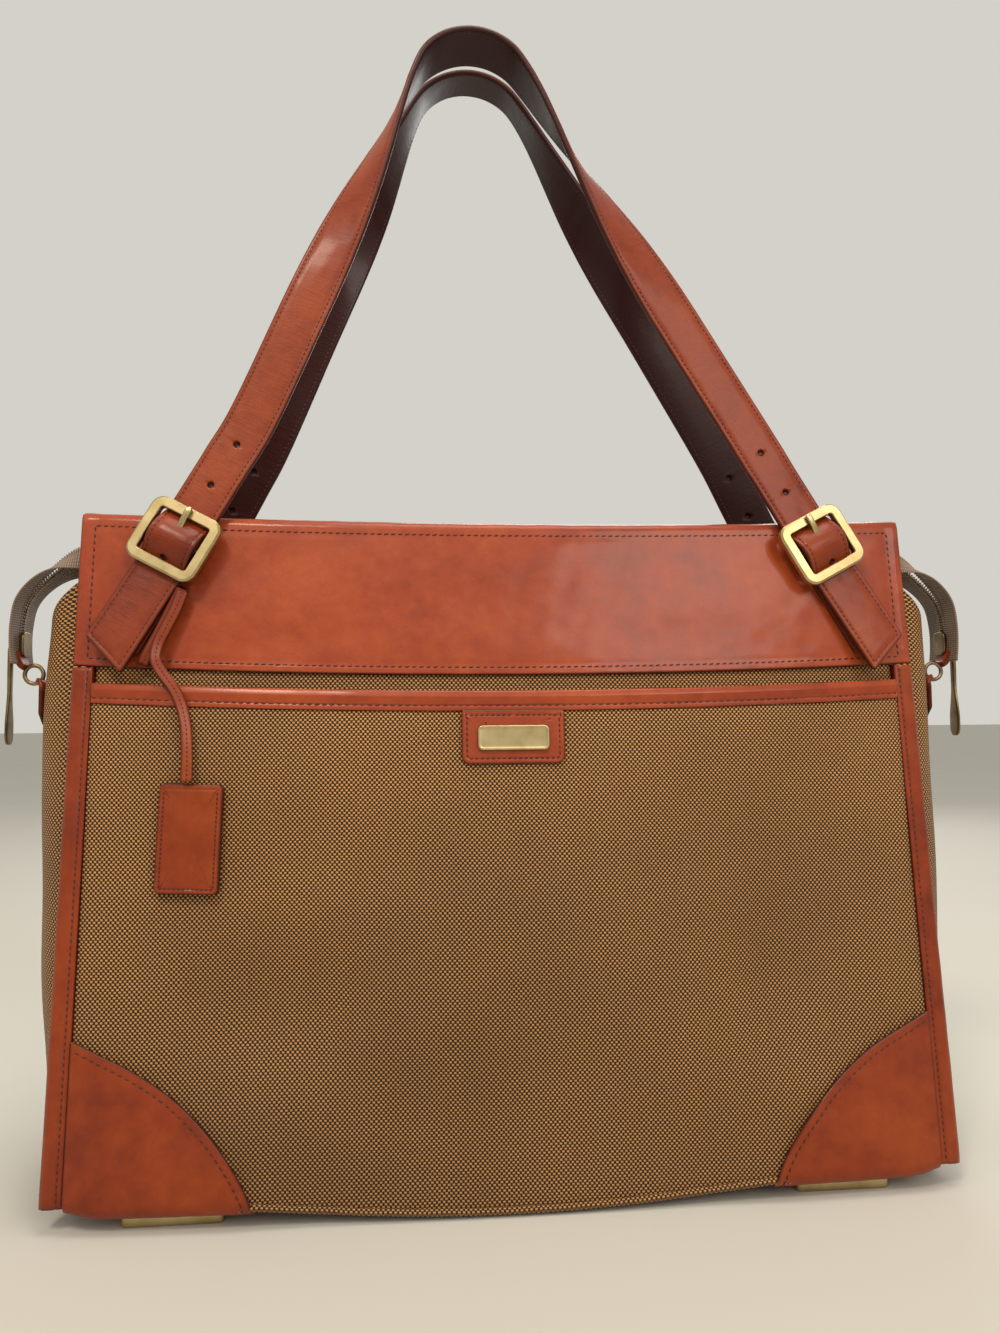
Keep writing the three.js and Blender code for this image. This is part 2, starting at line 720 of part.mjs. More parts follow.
// A flat pull that widens to a round lower end, hung from an eye at its top.
function pull() {
  const shape = new THREE.Shape();
  shape.moveTo(-2, 1.6);
  shape.lineTo(-2, -22);
  shape.lineTo(-4.6, -pullLength + 8);
  shape.absarc(0, -pullLength + 6, 4.8, rad(190), rad(350));
  shape.lineTo(2, -22);
  shape.lineTo(2, 1.6);
  const eye = new THREE.Path();
  eye.absarc(0, 0, 0.9, 0, 2 * Math.PI);
  shape.holes.push(eye);
  return across(shape, 2.2, 3);
}

// A leather tab on the gusset, pointed below.
function sideTab() {
  const shape = new THREE.Shape();
  shape.moveTo(-7, 0);
  shape.lineTo(7, 0);
  shape.lineTo(7, -14);
  shape.lineTo(0, -21);
  shape.lineTo(-7, -14);
  return across(shape, 1.8);
}

function zipRing() {
  const ring = new THREE.TorusGeometry(4.7, 1.1, 6, 14);
  ring.deleteAttribute('normal');
  ring.deleteAttribute('uv');
  return mergeVertices(ring, 1e-4).rotateX(Math.PI / 2);
}

const tabTopZ = 246;

for (const [hand, handName] of [[left, 'left'], [right, 'right']]) {
  const pieces = [
    ['zip_slider', slider(), bronze, sliderX, sliderZ],
    ['zip_pull', pull(), bronze, sliderX + 5.4, sliderZ - 3],
    ['zip_ring', zipRing(), bronze, sliderX - 6.6, sliderZ - 15.6],
    ['side_tab', sideTab(), cognac, gussetX(0, tabTopZ) + 1.6, tabTopZ],
  ];
  for (const [name, geometry, material, x, z] of pieces) {
    const group = new THREE.Group();
    group.position.set(hand * x, 0, z);
    bag.add(group);
    add(`${handName}_${name}`, geometry, material, group);
  }
}

export default bag;
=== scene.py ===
import json
import math

import bpy
import numpy as np
from mathutils import Matrix, Vector


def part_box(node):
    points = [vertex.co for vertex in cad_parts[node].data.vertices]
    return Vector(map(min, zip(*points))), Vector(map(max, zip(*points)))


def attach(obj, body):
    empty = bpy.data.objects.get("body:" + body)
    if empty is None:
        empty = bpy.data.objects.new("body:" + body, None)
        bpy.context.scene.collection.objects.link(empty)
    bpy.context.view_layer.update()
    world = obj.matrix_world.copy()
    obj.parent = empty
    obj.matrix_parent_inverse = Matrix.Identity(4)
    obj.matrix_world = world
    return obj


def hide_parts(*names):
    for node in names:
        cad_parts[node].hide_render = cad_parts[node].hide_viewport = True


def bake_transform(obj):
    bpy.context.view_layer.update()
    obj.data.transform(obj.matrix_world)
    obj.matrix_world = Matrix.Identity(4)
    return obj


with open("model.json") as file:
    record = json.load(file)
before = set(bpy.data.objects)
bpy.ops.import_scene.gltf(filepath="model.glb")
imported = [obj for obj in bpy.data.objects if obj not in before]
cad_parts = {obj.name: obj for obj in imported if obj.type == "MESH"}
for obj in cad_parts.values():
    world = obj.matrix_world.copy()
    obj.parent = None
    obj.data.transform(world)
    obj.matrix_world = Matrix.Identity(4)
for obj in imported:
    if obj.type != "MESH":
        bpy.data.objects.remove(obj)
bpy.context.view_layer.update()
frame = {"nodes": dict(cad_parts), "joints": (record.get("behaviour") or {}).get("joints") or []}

print("frame loaded")

front, back = -1, 1
left, right = -1, 1
sides = (("front", front), ("back", back))
hands = (("left", left), ("right", right))
weldGap = 0.002  # points closer than this, in mm, are one point


def nodeBox(name):
    # lowest and highest corner of a CAD node, in millimetres
    low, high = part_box(name)
    return 1000 * np.array(low), 1000 * np.array(high)


# the bag's driving sizes in millimetres; what the frame can tell is read from it
bandHigh = nodeBox("front_top_band")[1]
bag = {
    "halfWidth": bandHigh[0],
    "rimZ": bandHigh[2],
    "rimSag": 5,             # the rim dips between the buckles
    "cornerZ": 12,           # where the front is widest apart from the back
    "rimHalfDepth": 20,
    "baseHalfDepth": 60,
    "frontBulge": 6,
    "bellyBulge": 5,
    "backExtra": 2.4,        # the plain back swells as far as the pocket does
    "cloth": 2.2,            # thickness of the padded nylon
    "leather": 2.0,
    "gap": 0.4,
    "panelHalf": nodeBox("front_panel")[1][0],
    "bandLowZ": 255,
    "bandLowSag": 6,
    "pocketTopZ": 247,
    "pocketTopSag": 6,
    "pocketHem": 10,
    "pocketSlack": 8,        # how far the pocket's mouth stands off
    "gussetEdgeX": 207,
    "gussetBulge": 23,
    "gussetTopZ": 306,
    "gussetDip": 26,
    "footShelf": 8.4,
    "sagHalf": 118,
    "sagDeep": 6.7,
}


# camera, at the height of the bag's middle, close to it and a little to its left
cameraView = {"place": (-0.0475, -0.5188, 0.224), "turn": -5.1, "tilt": 3.5, "roll": -0.5, "lens": 26.0}


def makeCamera():
    data = bpy.data.cameras.new("camera")
    data.lens = cameraView["lens"]
    data.sensor_width = 36.0
    camera = bpy.data.objects.new("camera", data)
    bpy.context.scene.collection.objects.link(camera)
    turn = Matrix.Rotation(math.radians(cameraView["turn"]), 4, "Z")
    tilt = Matrix.Rotation(math.radians(90 + cameraView["tilt"]), 4, "X")
    roll = Matrix.Rotation(math.radians(cameraView["roll"]), 4, "Z")
    camera.matrix_world = Matrix.Translation(cameraView["place"]) @ turn @ tilt @ roll
    bpy.context.scene.camera = camera


makeCamera()
print("camera placed")


# numbers and points

def smoothStep(x, low, high):
    # 0 below low, 1 above high, 3t^2 - 2t^3 between
    t = np.clip((x - low) / (high - low), 0, 1)
    return t * t * (3 - 2 * t)


def pointsOf(x, y, z):
    return np.stack(np.broadcast_arrays(x, y, z), axis=-1).astype(float)


def unit(v):
    return v / np.linalg.norm(v, axis=-1, keepdims=True)


def waveNoise(u, v, wave, seed):
    # nine plane waves of about that wavelength, in directions and phases drawn from the seed
    rng = np.random.default_rng(seed)
    total = 0
    for angle, phase, stretch in rng.uniform((0, 0, 0.6), (math.pi, 2 * math.pi, 1.6), (9, 3)):
        along = u * math.cos(angle) + v * math.sin(angle)
        total = total + np.sin(2 * math.pi * stretch * along / wave + phase)
    return total / 4.5


def fullTurn(count):
    # angles evenly round a circle
    return np.linspace(0, 2 * math.pi, count, endpoint=False)


def squarer(wave, power):
    # a sine or cosine raised to a power below one, with its sign kept: its circle turns squarer
    return np.sign(wave) * np.abs(wave) ** power


def rounded(edge, radius):
    # height of a quarter circle that rises from 0 at a border to 1 at that radius inside it
    t = 1 - np.clip(edge / radius, 0, 1)
    return np.sqrt(np.clip(1 - t * t, 0, 1))


def seamGroove(edge, at, deep=0.28, wide=0.5):
    # a bell-shaped groove that runs at a set distance inside the border
    return -deep * np.exp(-((edge - at) / wide) ** 2)


def spacedLines(length, step, borders=(0, 0.15, 0.4, 0.8, 1.3, 1.9, 2.4, 2.8, 3.2, 3.8), extra=()):
    # places from 0 to length: close together at both borders and evenly spread between
    edge = np.array([b for b in borders if b < length / 2])
    inner = np.linspace(edge[-1], length - edge[-1], max(2, int((length - 2 * edge[-1]) / step) + 1))
    return np.unique(np.round(np.concatenate([edge, inner, length - edge, list(extra)]), 4))


# the bag's shape

def halfDepth(z):
    share = (z - bag["cornerZ"]) / (bag["rimZ"] - bag["cornerZ"])
    return bag["baseHalfDepth"] + (bag["rimHalfDepth"] - bag["baseHalfDepth"]) * share


def bulgeAt(z):
    # half a sine wave over the height, on top of an even bulge
    share = (z - bag["cornerZ"]) / (bag["rimZ"] - bag["cornerZ"])
    return bag["frontBulge"] + bag["bellyBulge"] * np.sin(math.pi * share)


def crown(x):
    return 1 - (x / bag["halfWidth"]) ** 2


def onFace(side, x, z, out):
    # a point at a distance out from the woven panel: a sloping plane plus a parabola across
    swell = bulgeAt(z) + (bag["backExtra"] if side == back else 0)
    return pointsOf(x, side * (halfDepth(z) + swell * crown(x) + out), z)


def rimAt(x):
    return bag["rimZ"] - bag["rimSag"] * crown(x)


def bandLowAt(x):
    return bag["bandLowZ"] - bag["bandLowSag"] * crown(x)


def pocketTopAt(x):
    return bag["pocketTopZ"] - bag["pocketTopSag"] * crown(x)


def pocketOut(x, z):
    # the pocket lies on the panel at the base and stands off it at the mouth
    slack = bag["pocketSlack"] * (1 - (x / bag["halfWidth"]) ** 4)
    rise = smoothStep(z, 150, bag["pocketTopZ"] - bag["pocketHem"])
    return bag["gap"] + bag["leather"] + slack * rise


def baseAt(x):
    # the underside: a parabola that sags in the middle, flat over the feet, turned up at the ends
    reach = np.abs(x)
    sag = -bag["sagDeep"] * (1 - (reach / bag["sagHalf"]) ** 2) * (reach < bag["sagHalf"])
    return bag["footShelf"] + sag + 8 * (np.maximum(reach - 184, 0) / 30) ** 2


def gussetHalf(z):
    return halfDepth(z) - 5.6


def gussetX(v, z):
    # an end panel swells out between its two edges and quickly above the base
    swell = bag["gussetBulge"] * (1 - np.exp(-z / 50))
    return bag["gussetEdgeX"] + (bag["halfWidth"] - bag["gussetEdgeX"] + swell) * (1 - np.abs(v) ** 2.5)


def gussetTop(v):
    return bag["gussetTopZ"] - bag["gussetDip"] * (1 - v * v)


def frameOn(side, x, z, outOf, leanDegrees=0):
    # origin and axes on a face: sideways, up the surface and leaning, and out of it
    def at(dx, dz):
        return onFace(side, x + dx, z + dz, outOf(x + dx, z + dz))

    across = unit(at(0.5, 0) - at(-0.5, 0))
    up = unit(at(0, 0.5) - at(0, -0.5))
    normal = unit(np.cross(across, up))
    normal = normal * np.sign(normal[1]) * side
    lean = math.radians(leanDegrees) * -np.sign(x)
    along = up * math.cos(lean) + across * math.sin(lean)
    along = unit(along - normal * (along @ normal))
    return at(0, 0), np.array([np.cross(along, normal), along, normal])


def inFrame(place, s, v, n):
    origin, axes = place
    return origin + pointsOf(s, v, n) @ axes


def smoothPath(points, spacing):
    # a centripetal Catmull-Rom curve through the points, then places at an even spacing on it
    p = np.array(points, float)
    p = np.vstack([2 * p[0] - p[1], p, 2 * p[-1] - p[-2]])
    d = np.sqrt(np.linalg.norm(np.diff(p, axis=0), axis=1))[:, None]
    t = np.linspace(0, 1, 40, endpoint=False)[:, None]
    pieces = []
    for i in range(1, len(p) - 2):
        bend = p[i + 1] - p[i]
        leave = bend + d[i] * ((p[i] - p[i - 1]) / d[i - 1] - (p[i + 1] - p[i - 1]) / (d[i - 1] + d[i]))
        reach = bend + d[i] * ((p[i + 2] - p[i + 1]) / d[i + 1] - (p[i + 2] - p[i]) / (d[i] + d[i + 1]))
        pieces.append((2 * t ** 3 - 3 * t ** 2 + 1) * p[i] + (t ** 3 - 2 * t ** 2 + t) * leave
                      + (3 * t ** 2 - 2 * t ** 3) * p[i + 1] + (t ** 3 - t ** 2) * reach)
    pieces.append(p[-2:-1])
    return evenly(np.vstack(pieces), spacing)


def evenly(line, spacing):
    # the same line with its points at an even spacing
    arc = np.concatenate([[0], np.cumsum(np.linalg.norm(np.diff(line, axis=0), axis=1))])
    at = np.linspace(0, arc[-1], max(3, int(round(arc[-1] / spacing)) + 1))
    return np.stack([np.interp(at, arc, line[:, k]) for k in range(line.shape[1])], axis=1)


def tangentsOf(line):
    return unit(np.gradient(line, axis=0))


# meshes

def gridQuads(rows, columns, offset=0, closed=False):
    index = offset + np.arange(rows * columns).reshape(rows, columns)
    if closed:
        index = np.hstack([index, index[:, :1]])
    return np.stack([index[:-1, :-1], index[1:, :-1], index[1:, 1:], index[:-1, 1:]], -1).reshape(-1, 4)


def makePiece(name, points, quads, finish, body="root", uv=None, rim=None, under=None, stands=(), sharp=None):
    # welds points that fall together, so that seams and poles close, and turns the faces outwards.
    # rim is each point's distance from a cut edge in mm, under is 1 on the leather's flesh side
    points = np.asarray(points, float).reshape(-1, 3)
    keys = np.round(points / weldGap).astype(np.int64)
    _, first, where = np.unique(keys, axis=0, return_index=True, return_inverse=True)
    where = where.reshape(-1)
    welded = points[first]
    corners = where[quads]
    a, b, c, d = (welded[corners[:, k]] for k in range(4))
    volume = (a * np.cross(b, c)).sum() + (a * np.cross(c, d)).sum()
    if volume < 0:
        quads = quads[:, ::-1]
        corners = corners[:, ::-1]
    keep = corners != np.roll(corners, 1, axis=1)
    good = (keep.sum(1) >= 3) & (corners[:, 0] != corners[:, 2]) & (corners[:, 1] != corners[:, 3])
    keep, corners, quads = keep[good], corners[good], quads[good]
    loops = corners[keep]
    sizes = keep.sum(1)
    mesh = bpy.data.meshes.new(name)
    mesh.vertices.add(len(welded))
    mesh.vertices.foreach_set("co", (welded * 0.001).astype(np.float32).ravel())
    mesh.loops.add(len(loops))
    mesh.loops.foreach_set("vertex_index", loops.astype(np.int32))
    mesh.polygons.add(len(sizes))
    starts = np.concatenate([[0], np.cumsum(sizes)[:-1]])
    mesh.polygons.foreach_set("loop_start", starts.astype(np.int32))
    mesh.polygons.foreach_set("use_smooth", np.ones(len(sizes), bool))
    mesh.update(calc_edges=True)
    if rim is not None and uv is None:
        uv = np.zeros((len(points), 2))
    if uv is not None:
        layer = mesh.uv_layers.new(name="cut")
        flat = (np.asarray(uv, float).reshape(-1, 2) * 0.001)[quads][keep]
        layer.data.foreach_set("uv", flat.astype(np.float32).ravel())
    marks = {} if rim is None else {"rim": rim, "under": 0 * rim if under is None else under}
    for mark, values in marks.items():
        attribute = mesh.attributes.new(mark, "FLOAT", "POINT")
        attribute.data.foreach_set("value", np.asarray(values, np.float32).ravel()[first])
    if mesh.validate():
        print(name, "had faces that were not valid")
    if sharp:
        mesh.set_sharp_from_angle(angle=math.radians(sharp))
    piece = bpy.data.objects.new(name, mesh)
    bpy.context.scene.collection.objects.link(piece)
    mesh.materials.append(finish)
    if isinstance(body, tuple):
        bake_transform(piece)
    else:
        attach(piece, body)
    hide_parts(*stands)
    return piece


def bothSides(u, v):
    # places on the cut cloth or leather, once for each side of a sheet
    return np.concatenate([np.stack([u, v], -1).reshape(-1, 2)] * 2)


def sheetOf(outer, inner):
    # points and faces of a sheet between two grids of points, joined round their borders
    rows, columns = outer.shape[:2]
    count = rows * columns
    index = np.arange(count).reshape(rows, columns)
    ring = np.concatenate([index[0], index[1:, -1], index[-1, -2::-1], index[-2:0:-1, 0]])
    onward = np.roll(ring, -1)
    walls = np.stack([ring, onward, onward + count, ring + count], -1)
    quads = np.vstack([gridQuads(rows, columns), gridQuads(rows, columns, count)[:, ::-1], walls])
    return np.concatenate([outer.reshape(-1, 3), inner.reshape(-1, 3)]), quads


def slopeNormal(shape, u, v, step=0.05):
    # the surface's normal, from its slopes both ways
    return unit(np.cross(shape(u + step, v) - shape(u - step, v), shape(u, v + step) - shape(u, v - step)))


def facing(shape, u, v, like):
    # the surface's normal, turned so that at the middle of the grid it points like that
    normal = slopeNormal(shape, u, v)
    middle = normal[tuple(count // 2 for count in normal.shape[:-1])]
    return normal * np.sign(middle @ np.array(like, float))


def leatherSheet(name, shape, u, v, like, edge, finish, thick=2.0, roll=0.9, relief=None, **more):
    # a sheet of leather about the surface shape(u, v): its thickness rounds to nothing at the border,
    # edge is each point's distance from the border, and relief lifts or presses the grain side
    normal = facing(shape, u, v, like)
    middle = shape(u, v)
    half = thick / 2 * rounded(edge, roll)
    lift = half + (0 if relief is None else relief * np.clip(edge, 0, 1))
    points, quads = sheetOf(middle + normal * lift[..., None], middle - normal * half[..., None])
    rim = np.tile(edge.ravel(), 2)
    under = np.repeat([0.0, 1.0], edge.size)
    return makePiece(name, points, quads, finish, uv=bothSides(u, v), rim=rim, under=under, **more)


def tubeOf(rings, uv=None):
    # rows of closed rings with both ends drawn together to a point
    start = np.repeat(rings[:1].mean(1, keepdims=True), rings.shape[1], 1)
    end = np.repeat(rings[-1:].mean(1, keepdims=True), rings.shape[1], 1)
    rows = np.concatenate([start, rings, end])
    return rows.reshape(-1, 3), gridQuads(len(rows), rows.shape[1], closed=True)


def joined(*parts):
    # several closed shapes as one list of points and faces
    points, quads, offset = [], [], 0
    for p, q in parts:
        points.append(p)
        quads.append(q + offset)
        offset += len(p)
    return np.concatenate(points), np.concatenate(quads)


def outlineOf(corners, radius, steps=6):
    # a closed flat outline whose corners are rounded by arcs; radius may be one number or one for each
    corners = np.array(corners, float)
    radii = np.broadcast_to(radius, len(corners))
    line = []
    for k, corner in enumerate(corners):
        toBack = unit(corners[k - 1] - corner)
        toNext = unit(corners[(k + 1) % len(corners)] - corner)
        half = math.acos(np.clip(toBack @ toNext, -1, 1)) / 2
        reach = radii[k] / math.tan(half)
        middle = corner + unit(toBack + toNext) * radii[k] / math.sin(half)
        a, b = corner + toBack * reach - middle, corner + toNext * reach - middle
        sweep = math.acos(np.clip(unit(a) @ unit(b), -1, 1))
        for t in np.linspace(0, 1, steps + 1):
            w = (math.sin((1 - t) * sweep) * a + math.sin(t * sweep) * b) / math.sin(sweep)
            line.append(middle + w)
    return np.array(line)


def boxOutline(width, height, radius, steps=8):
    x, y = width / 2, height / 2
    return outlineOf([(-x, -y), (x, -y), (x, y), (-x, y)], radius, steps)


def insetOf(outline, distance):
    # the outline moved inwards, each point along the bisector of its two sides
    onward = unit(np.roll(outline, -1, 0) - outline)
    before = unit(outline - np.roll(outline, 1, 0))
    turn = np.sign(np.sum(before[:, 0] * onward[:, 1] - before[:, 1] * onward[:, 0]))
    normal = np.stack([-(onward + before)[:, 1], (onward + before)[:, 0]], 1)
    normal = unit(normal) * turn
    return outline + normal * distance


flatRings = (0.8, 0.6, 0.4, 0.2)  # how far out the rings lie that fill a plate's flat faces


def plateOf(outline, profile, place, fills=flatRings):
    # a plate from its outline: profile lists how far in and how high each ring lies, from the middle
    # of the underside round the edge to the top; the flat faces are filled by rings drawn in
    middle = outline.mean(0)
    first, last = (insetOf(outline, profile[k][0]) for k in (0, -1))

    def ringAt(line, height):
        return np.column_stack([line, np.full(len(outline), height)])

    rings = [ringAt(middle + (first - middle) * share, profile[0][1]) for share in fills[::-1]]
    rings += [ringAt(insetOf(outline, inset), height) for inset, height in profile]
    rings += [ringAt(middle + (last - middle) * share, profile[-1][1]) for share in fills]
    rings = np.array(rings)
    return tubeOf(place(rings[..., 0], rings[..., 1], rings[..., 2]))


def plateMarks(profile, count, thick, lowSide=0.2, fills=flatRings):
    # for each point of a plate: its distance from the border, its height and whether it is underneath
    flat = len(fills) + 1
    insets = [9.0] * flat + [inset for inset, height in profile] + [9.0] * flat
    heights = [0.0] * flat + [height for inset, height in profile] + [thick] * flat
    rim, high = (np.repeat(np.array(values)[:, None], count, 1) for values in (insets, heights))
    return rim, high, (high < lowSide).astype(float)


def edgeProfile(thick, radius, low=0.0, groove=None, steps=4):
    # the rings of a plate's edge: a rounded lower edge, a rounded upper edge and a stitch groove
    turn = np.linspace(0, math.pi / 2, steps + 1)
    lower = [(radius * (1 - math.sin(a)), low + radius * (1 - math.cos(a))) for a in turn]
    upper = [(radius * (1 - math.cos(a)), low + thick - radius * (1 - math.sin(a))) for a in turn]
    rings = [(radius + 1.5, low)] + lower + upper
    if groove:
        for away, share in ((-0.8, 0), (-0.35, 0.6), (0, 1), (0.35, 0.6), (0.8, 0)):
            rings.append((groove + away, low + thick - 0.28 * share))
    rings.append((rings[-1][0] + 0.4, low + thick))
    return rings


# stitching: each stitch is a grain of thread of two dozen faces that dips into the leather at its ends

def stitchRow(line, normals, pitch, closed=False):
    # places, directions and normals of the stitches along a line
    if closed:
        line = np.vstack([line, line[:1]])
        normals = np.vstack([normals, normals[:1]])
    arc = np.concatenate([[0], np.cumsum(np.linalg.norm(np.diff(line, axis=0), axis=1))])
    count = max(1, int(arc[-1] / pitch))
    at = (np.arange(count) + 0.5) * arc[-1] / count

    def along(t):
        return np.stack([np.interp(t, arc, line[:, k]) for k in range(3)], 1)

    normal = unit(np.stack([np.interp(at, arc, normals[:, k]) for k in range(3)], 1))
    direction = unit(along(at + 0.3 * pitch) - along(at - 0.3 * pitch))
    return along(at), direction, normal


def stitchPiece(name, rows, length, wide=0.75, high=0.55, slant=9, body="root", finish=None):
    place, direction, normal = (np.concatenate([row[k] for row in rows]) for k in range(3))
    sideways = unit(np.cross(normal, direction))
    lean = math.radians(slant)
    direction, sideways = (direction * math.cos(lean) + sideways * math.sin(lean),
                           sideways * math.cos(lean) - direction * math.sin(lean))
    around = fullTurn(6)
    stations = np.array([(-1, 0), (-0.82, 0.62), (-0.35, 1), (0.35, 1), (0.82, 0.62), (1, 0)])
    x = np.repeat(stations[:, :1], 6, 1) * length / 2
    y = stations[:, 1:] * np.cos(around) * wide / 2
    z = stations[:, 1:] * np.sin(around) * high / 2 - 0.3 * high * np.abs(stations[:, :1]) ** 3
    points = (place[:, None, None] + x[..., None] * direction[:, None, None]
              + y[..., None] * sideways[:, None, None] + z[..., None] * normal[:, None, None])
    quads = gridQuads(6, 6, closed=True)
    offsets = np.arange(len(place))[:, None, None] * 36
    return makePiece(name, points, (quads + offsets).reshape(-1, 4), finish or seamThread, body=body)


# materials

def hexColor(code):
    # an sRGB hex colour as linear red, green, blue and alpha
    channels = [int(code[k:k + 2], 16) / 255 for k in (1, 3, 5)]
    return tuple(c / 12.92 if c <= 0.04045 else ((c + 0.055) / 1.055) ** 2.4 for c in channels) + (1.0,)


def socketOf(source):
    # a node stands for its first output
    return source.outputs[0] if isinstance(source, bpy.types.Node) else source


def addNode(tree, kind, settings=None, links=None):
    # one node: settings are its properties, its unlinked inputs or a ramp's stops; links are its inputs
    node = tree.nodes.new("ShaderNode" + kind)
    for key, value in (settings or {}).items():
        if key == "stops":
            for k, (at, color) in enumerate(value):
                stop = node.color_ramp.elements[k] if k < 2 else node.color_ramp.elements.new(at)
                stop.position = at
                stop.color = hexColor(color)
        elif isinstance(key, str) and hasattr(node, key):
            setattr(node, key, value)
        else:
            node.inputs[key].default_value = value
    for key, source in (links or {}).items():
        tree.links.new(socketOf(source), node.inputs[key])
    return node


def newMaterial(name):
    material = bpy.data.materials.new(name)
    material.use_nodes = True
    tree = material.node_tree
    tree.nodes.clear()
    shader = tree.nodes.new("ShaderNodeBsdfPrincipled")
    output = tree.nodes.new("ShaderNodeOutputMaterial")
    tree.links.new(shader.outputs[0], output.inputs[0])
    return material, tree, shader


def setShader(tree, shader, patterns, even):
    # patterns are linked to the shader's sockets, and what is even all over is set on them
    for key, source in patterns.items():
        tree.links.new(socketOf(source), shader.inputs[key])
    for key, value in even.items():
        shader.inputs[key].default_value = value


def makeNylon(name, light, middle, dark):
    # ballistic nylon, woven two over two from flat bright yarn: khaki floats with dark gaps between
    # them, the dark partly the yarn beneath and partly painted shade in the gaps; a dry sheen; a cloudy
    # tone with fine flecks, its broad patches partly painted light; and painted shade that darkens the
    # cloth towards the base, partly also dirt worn in there.
    # The crossings are 2.2 mm apart across the cloth and 2.4 mm up it
    weave = {"across": 0.0022, "up": 0.0024, "raise": 0.00035, "wander": 0.0009}
    material, tree, shader = newMaterial(name)
    cut = addNode(tree, "UVMap", {"uv_map": "cut"})
    drift = addNode(tree, "TexNoise", {"Scale": 60.0, "Detail": 1.0}, {"Vector": cut})
    centred = addNode(tree, "VectorMath", {"operation": "SUBTRACT", 1: (0.5, 0.5, 0.5)},
                      {0: drift.outputs["Color"]})
    shift = addNode(tree, "VectorMath", {"operation": "SCALE", "Scale": weave["wander"]}, {0: centred})
    moved = addNode(tree, "VectorMath", {"operation": "ADD"}, {0: cut, 1: shift})
    turns = (2 * math.pi / weave["across"], 2 * math.pi / weave["up"], 0)
    waves = addNode(tree, "VectorMath", {"operation": "MULTIPLY", 1: turns}, {0: moved})
    sines = addNode(tree, "VectorMath", {"operation": "SINE"}, {0: waves})
    parts = addNode(tree, "SeparateXYZ", {}, {0: sines})
    row = addNode(tree, "Math", {"operation": "SIGN"}, {0: parts.outputs[1]})
    crossing = addNode(tree, "Math", {"operation": "MULTIPLY"}, {0: parts, 1: row})
    floats = addNode(tree, "MapRange", {"From Min": -0.6, "From Max": 0.45,
                                        "interpolation_type": "SMOOTHSTEP"}, {0: crossing})
    yarnSide = addNode(tree, "Math", {"operation": "ABSOLUTE"}, {0: parts.outputs[1]})
    full = addNode(tree, "Math", {"operation": "POWER", 1: 0.7}, {0: yarnSide})
    level = addNode(tree, "Math", {"operation": "MULTIPLY"}, {0: floats, 1: full})
    # the dark stop is partly the yarn beneath and partly painted shade in the gaps between the floats
    yarn = addNode(tree, "ValToRGB", {"stops": [(0.08, dark), (0.85, light), (0.48, middle)]}, {0: level})
    spots = addNode(tree, "TexCoord")
    place = spots.outputs["Object"]
    # broad random patches of lighter and darker cloth, partly painted light standing in for streaks of
    # reflected lamp light
    patch = addNode(tree, "TexNoise", {"Scale": 9.0, "Detail": 3.0}, {"Vector": place})
    fleck = addNode(tree, "TexNoise", {"Scale": 900.0, "Detail": 1.0}, {"Vector": place})
    tone = addNode(tree, "MapRange", {"From Min": 0.3, "From Max": 0.7, "To Min": 0.82, "To Max": 1.1},
                   {0: patch})
    speck = addNode(tree, "MapRange", {"From Min": 0.3, "From Max": 0.7, "To Min": 0.88, "To Max": 1.1},
                    {0: fleck})
    # painted shade: the cloth is darker towards the base, standing in for light that falls from above, partly
    # also dirt worn in there
    height = addNode(tree, "SeparateXYZ", {}, {0: place})
    baseShadeAndDirt = addNode(tree, "MapRange", {"From Min": 0.0, "From Max": 0.2, "To Min": 0.74, "To Max": 1.0},
                     {0: height.outputs[2]})
    patchesAndBaseShade = addNode(tree, "Math", {"operation": "MULTIPLY"}, {0: tone, 1: baseShadeAndDirt})
    both = addNode(tree, "Math", {"operation": "MULTIPLY"}, {0: patchesAndBaseShade, 1: speck})
    color = addNode(tree, "VectorMath", {"operation": "SCALE"}, {0: yarn, "Scale": both})
    gloss = addNode(tree, "MapRange", {"To Min": 0.8, "To Max": 0.46}, {0: level})
    bump = addNode(tree, "Bump", {"Strength": 0.55, "Distance": weave["raise"]}, {"Height": level})
    setShader(tree, shader, {"Base Color": color, "Roughness": gloss, "Normal": bump},
              {"Sheen Weight": 0.06, "Sheen Roughness": 0.4, "Specular IOR Level": 0.35})
    return material


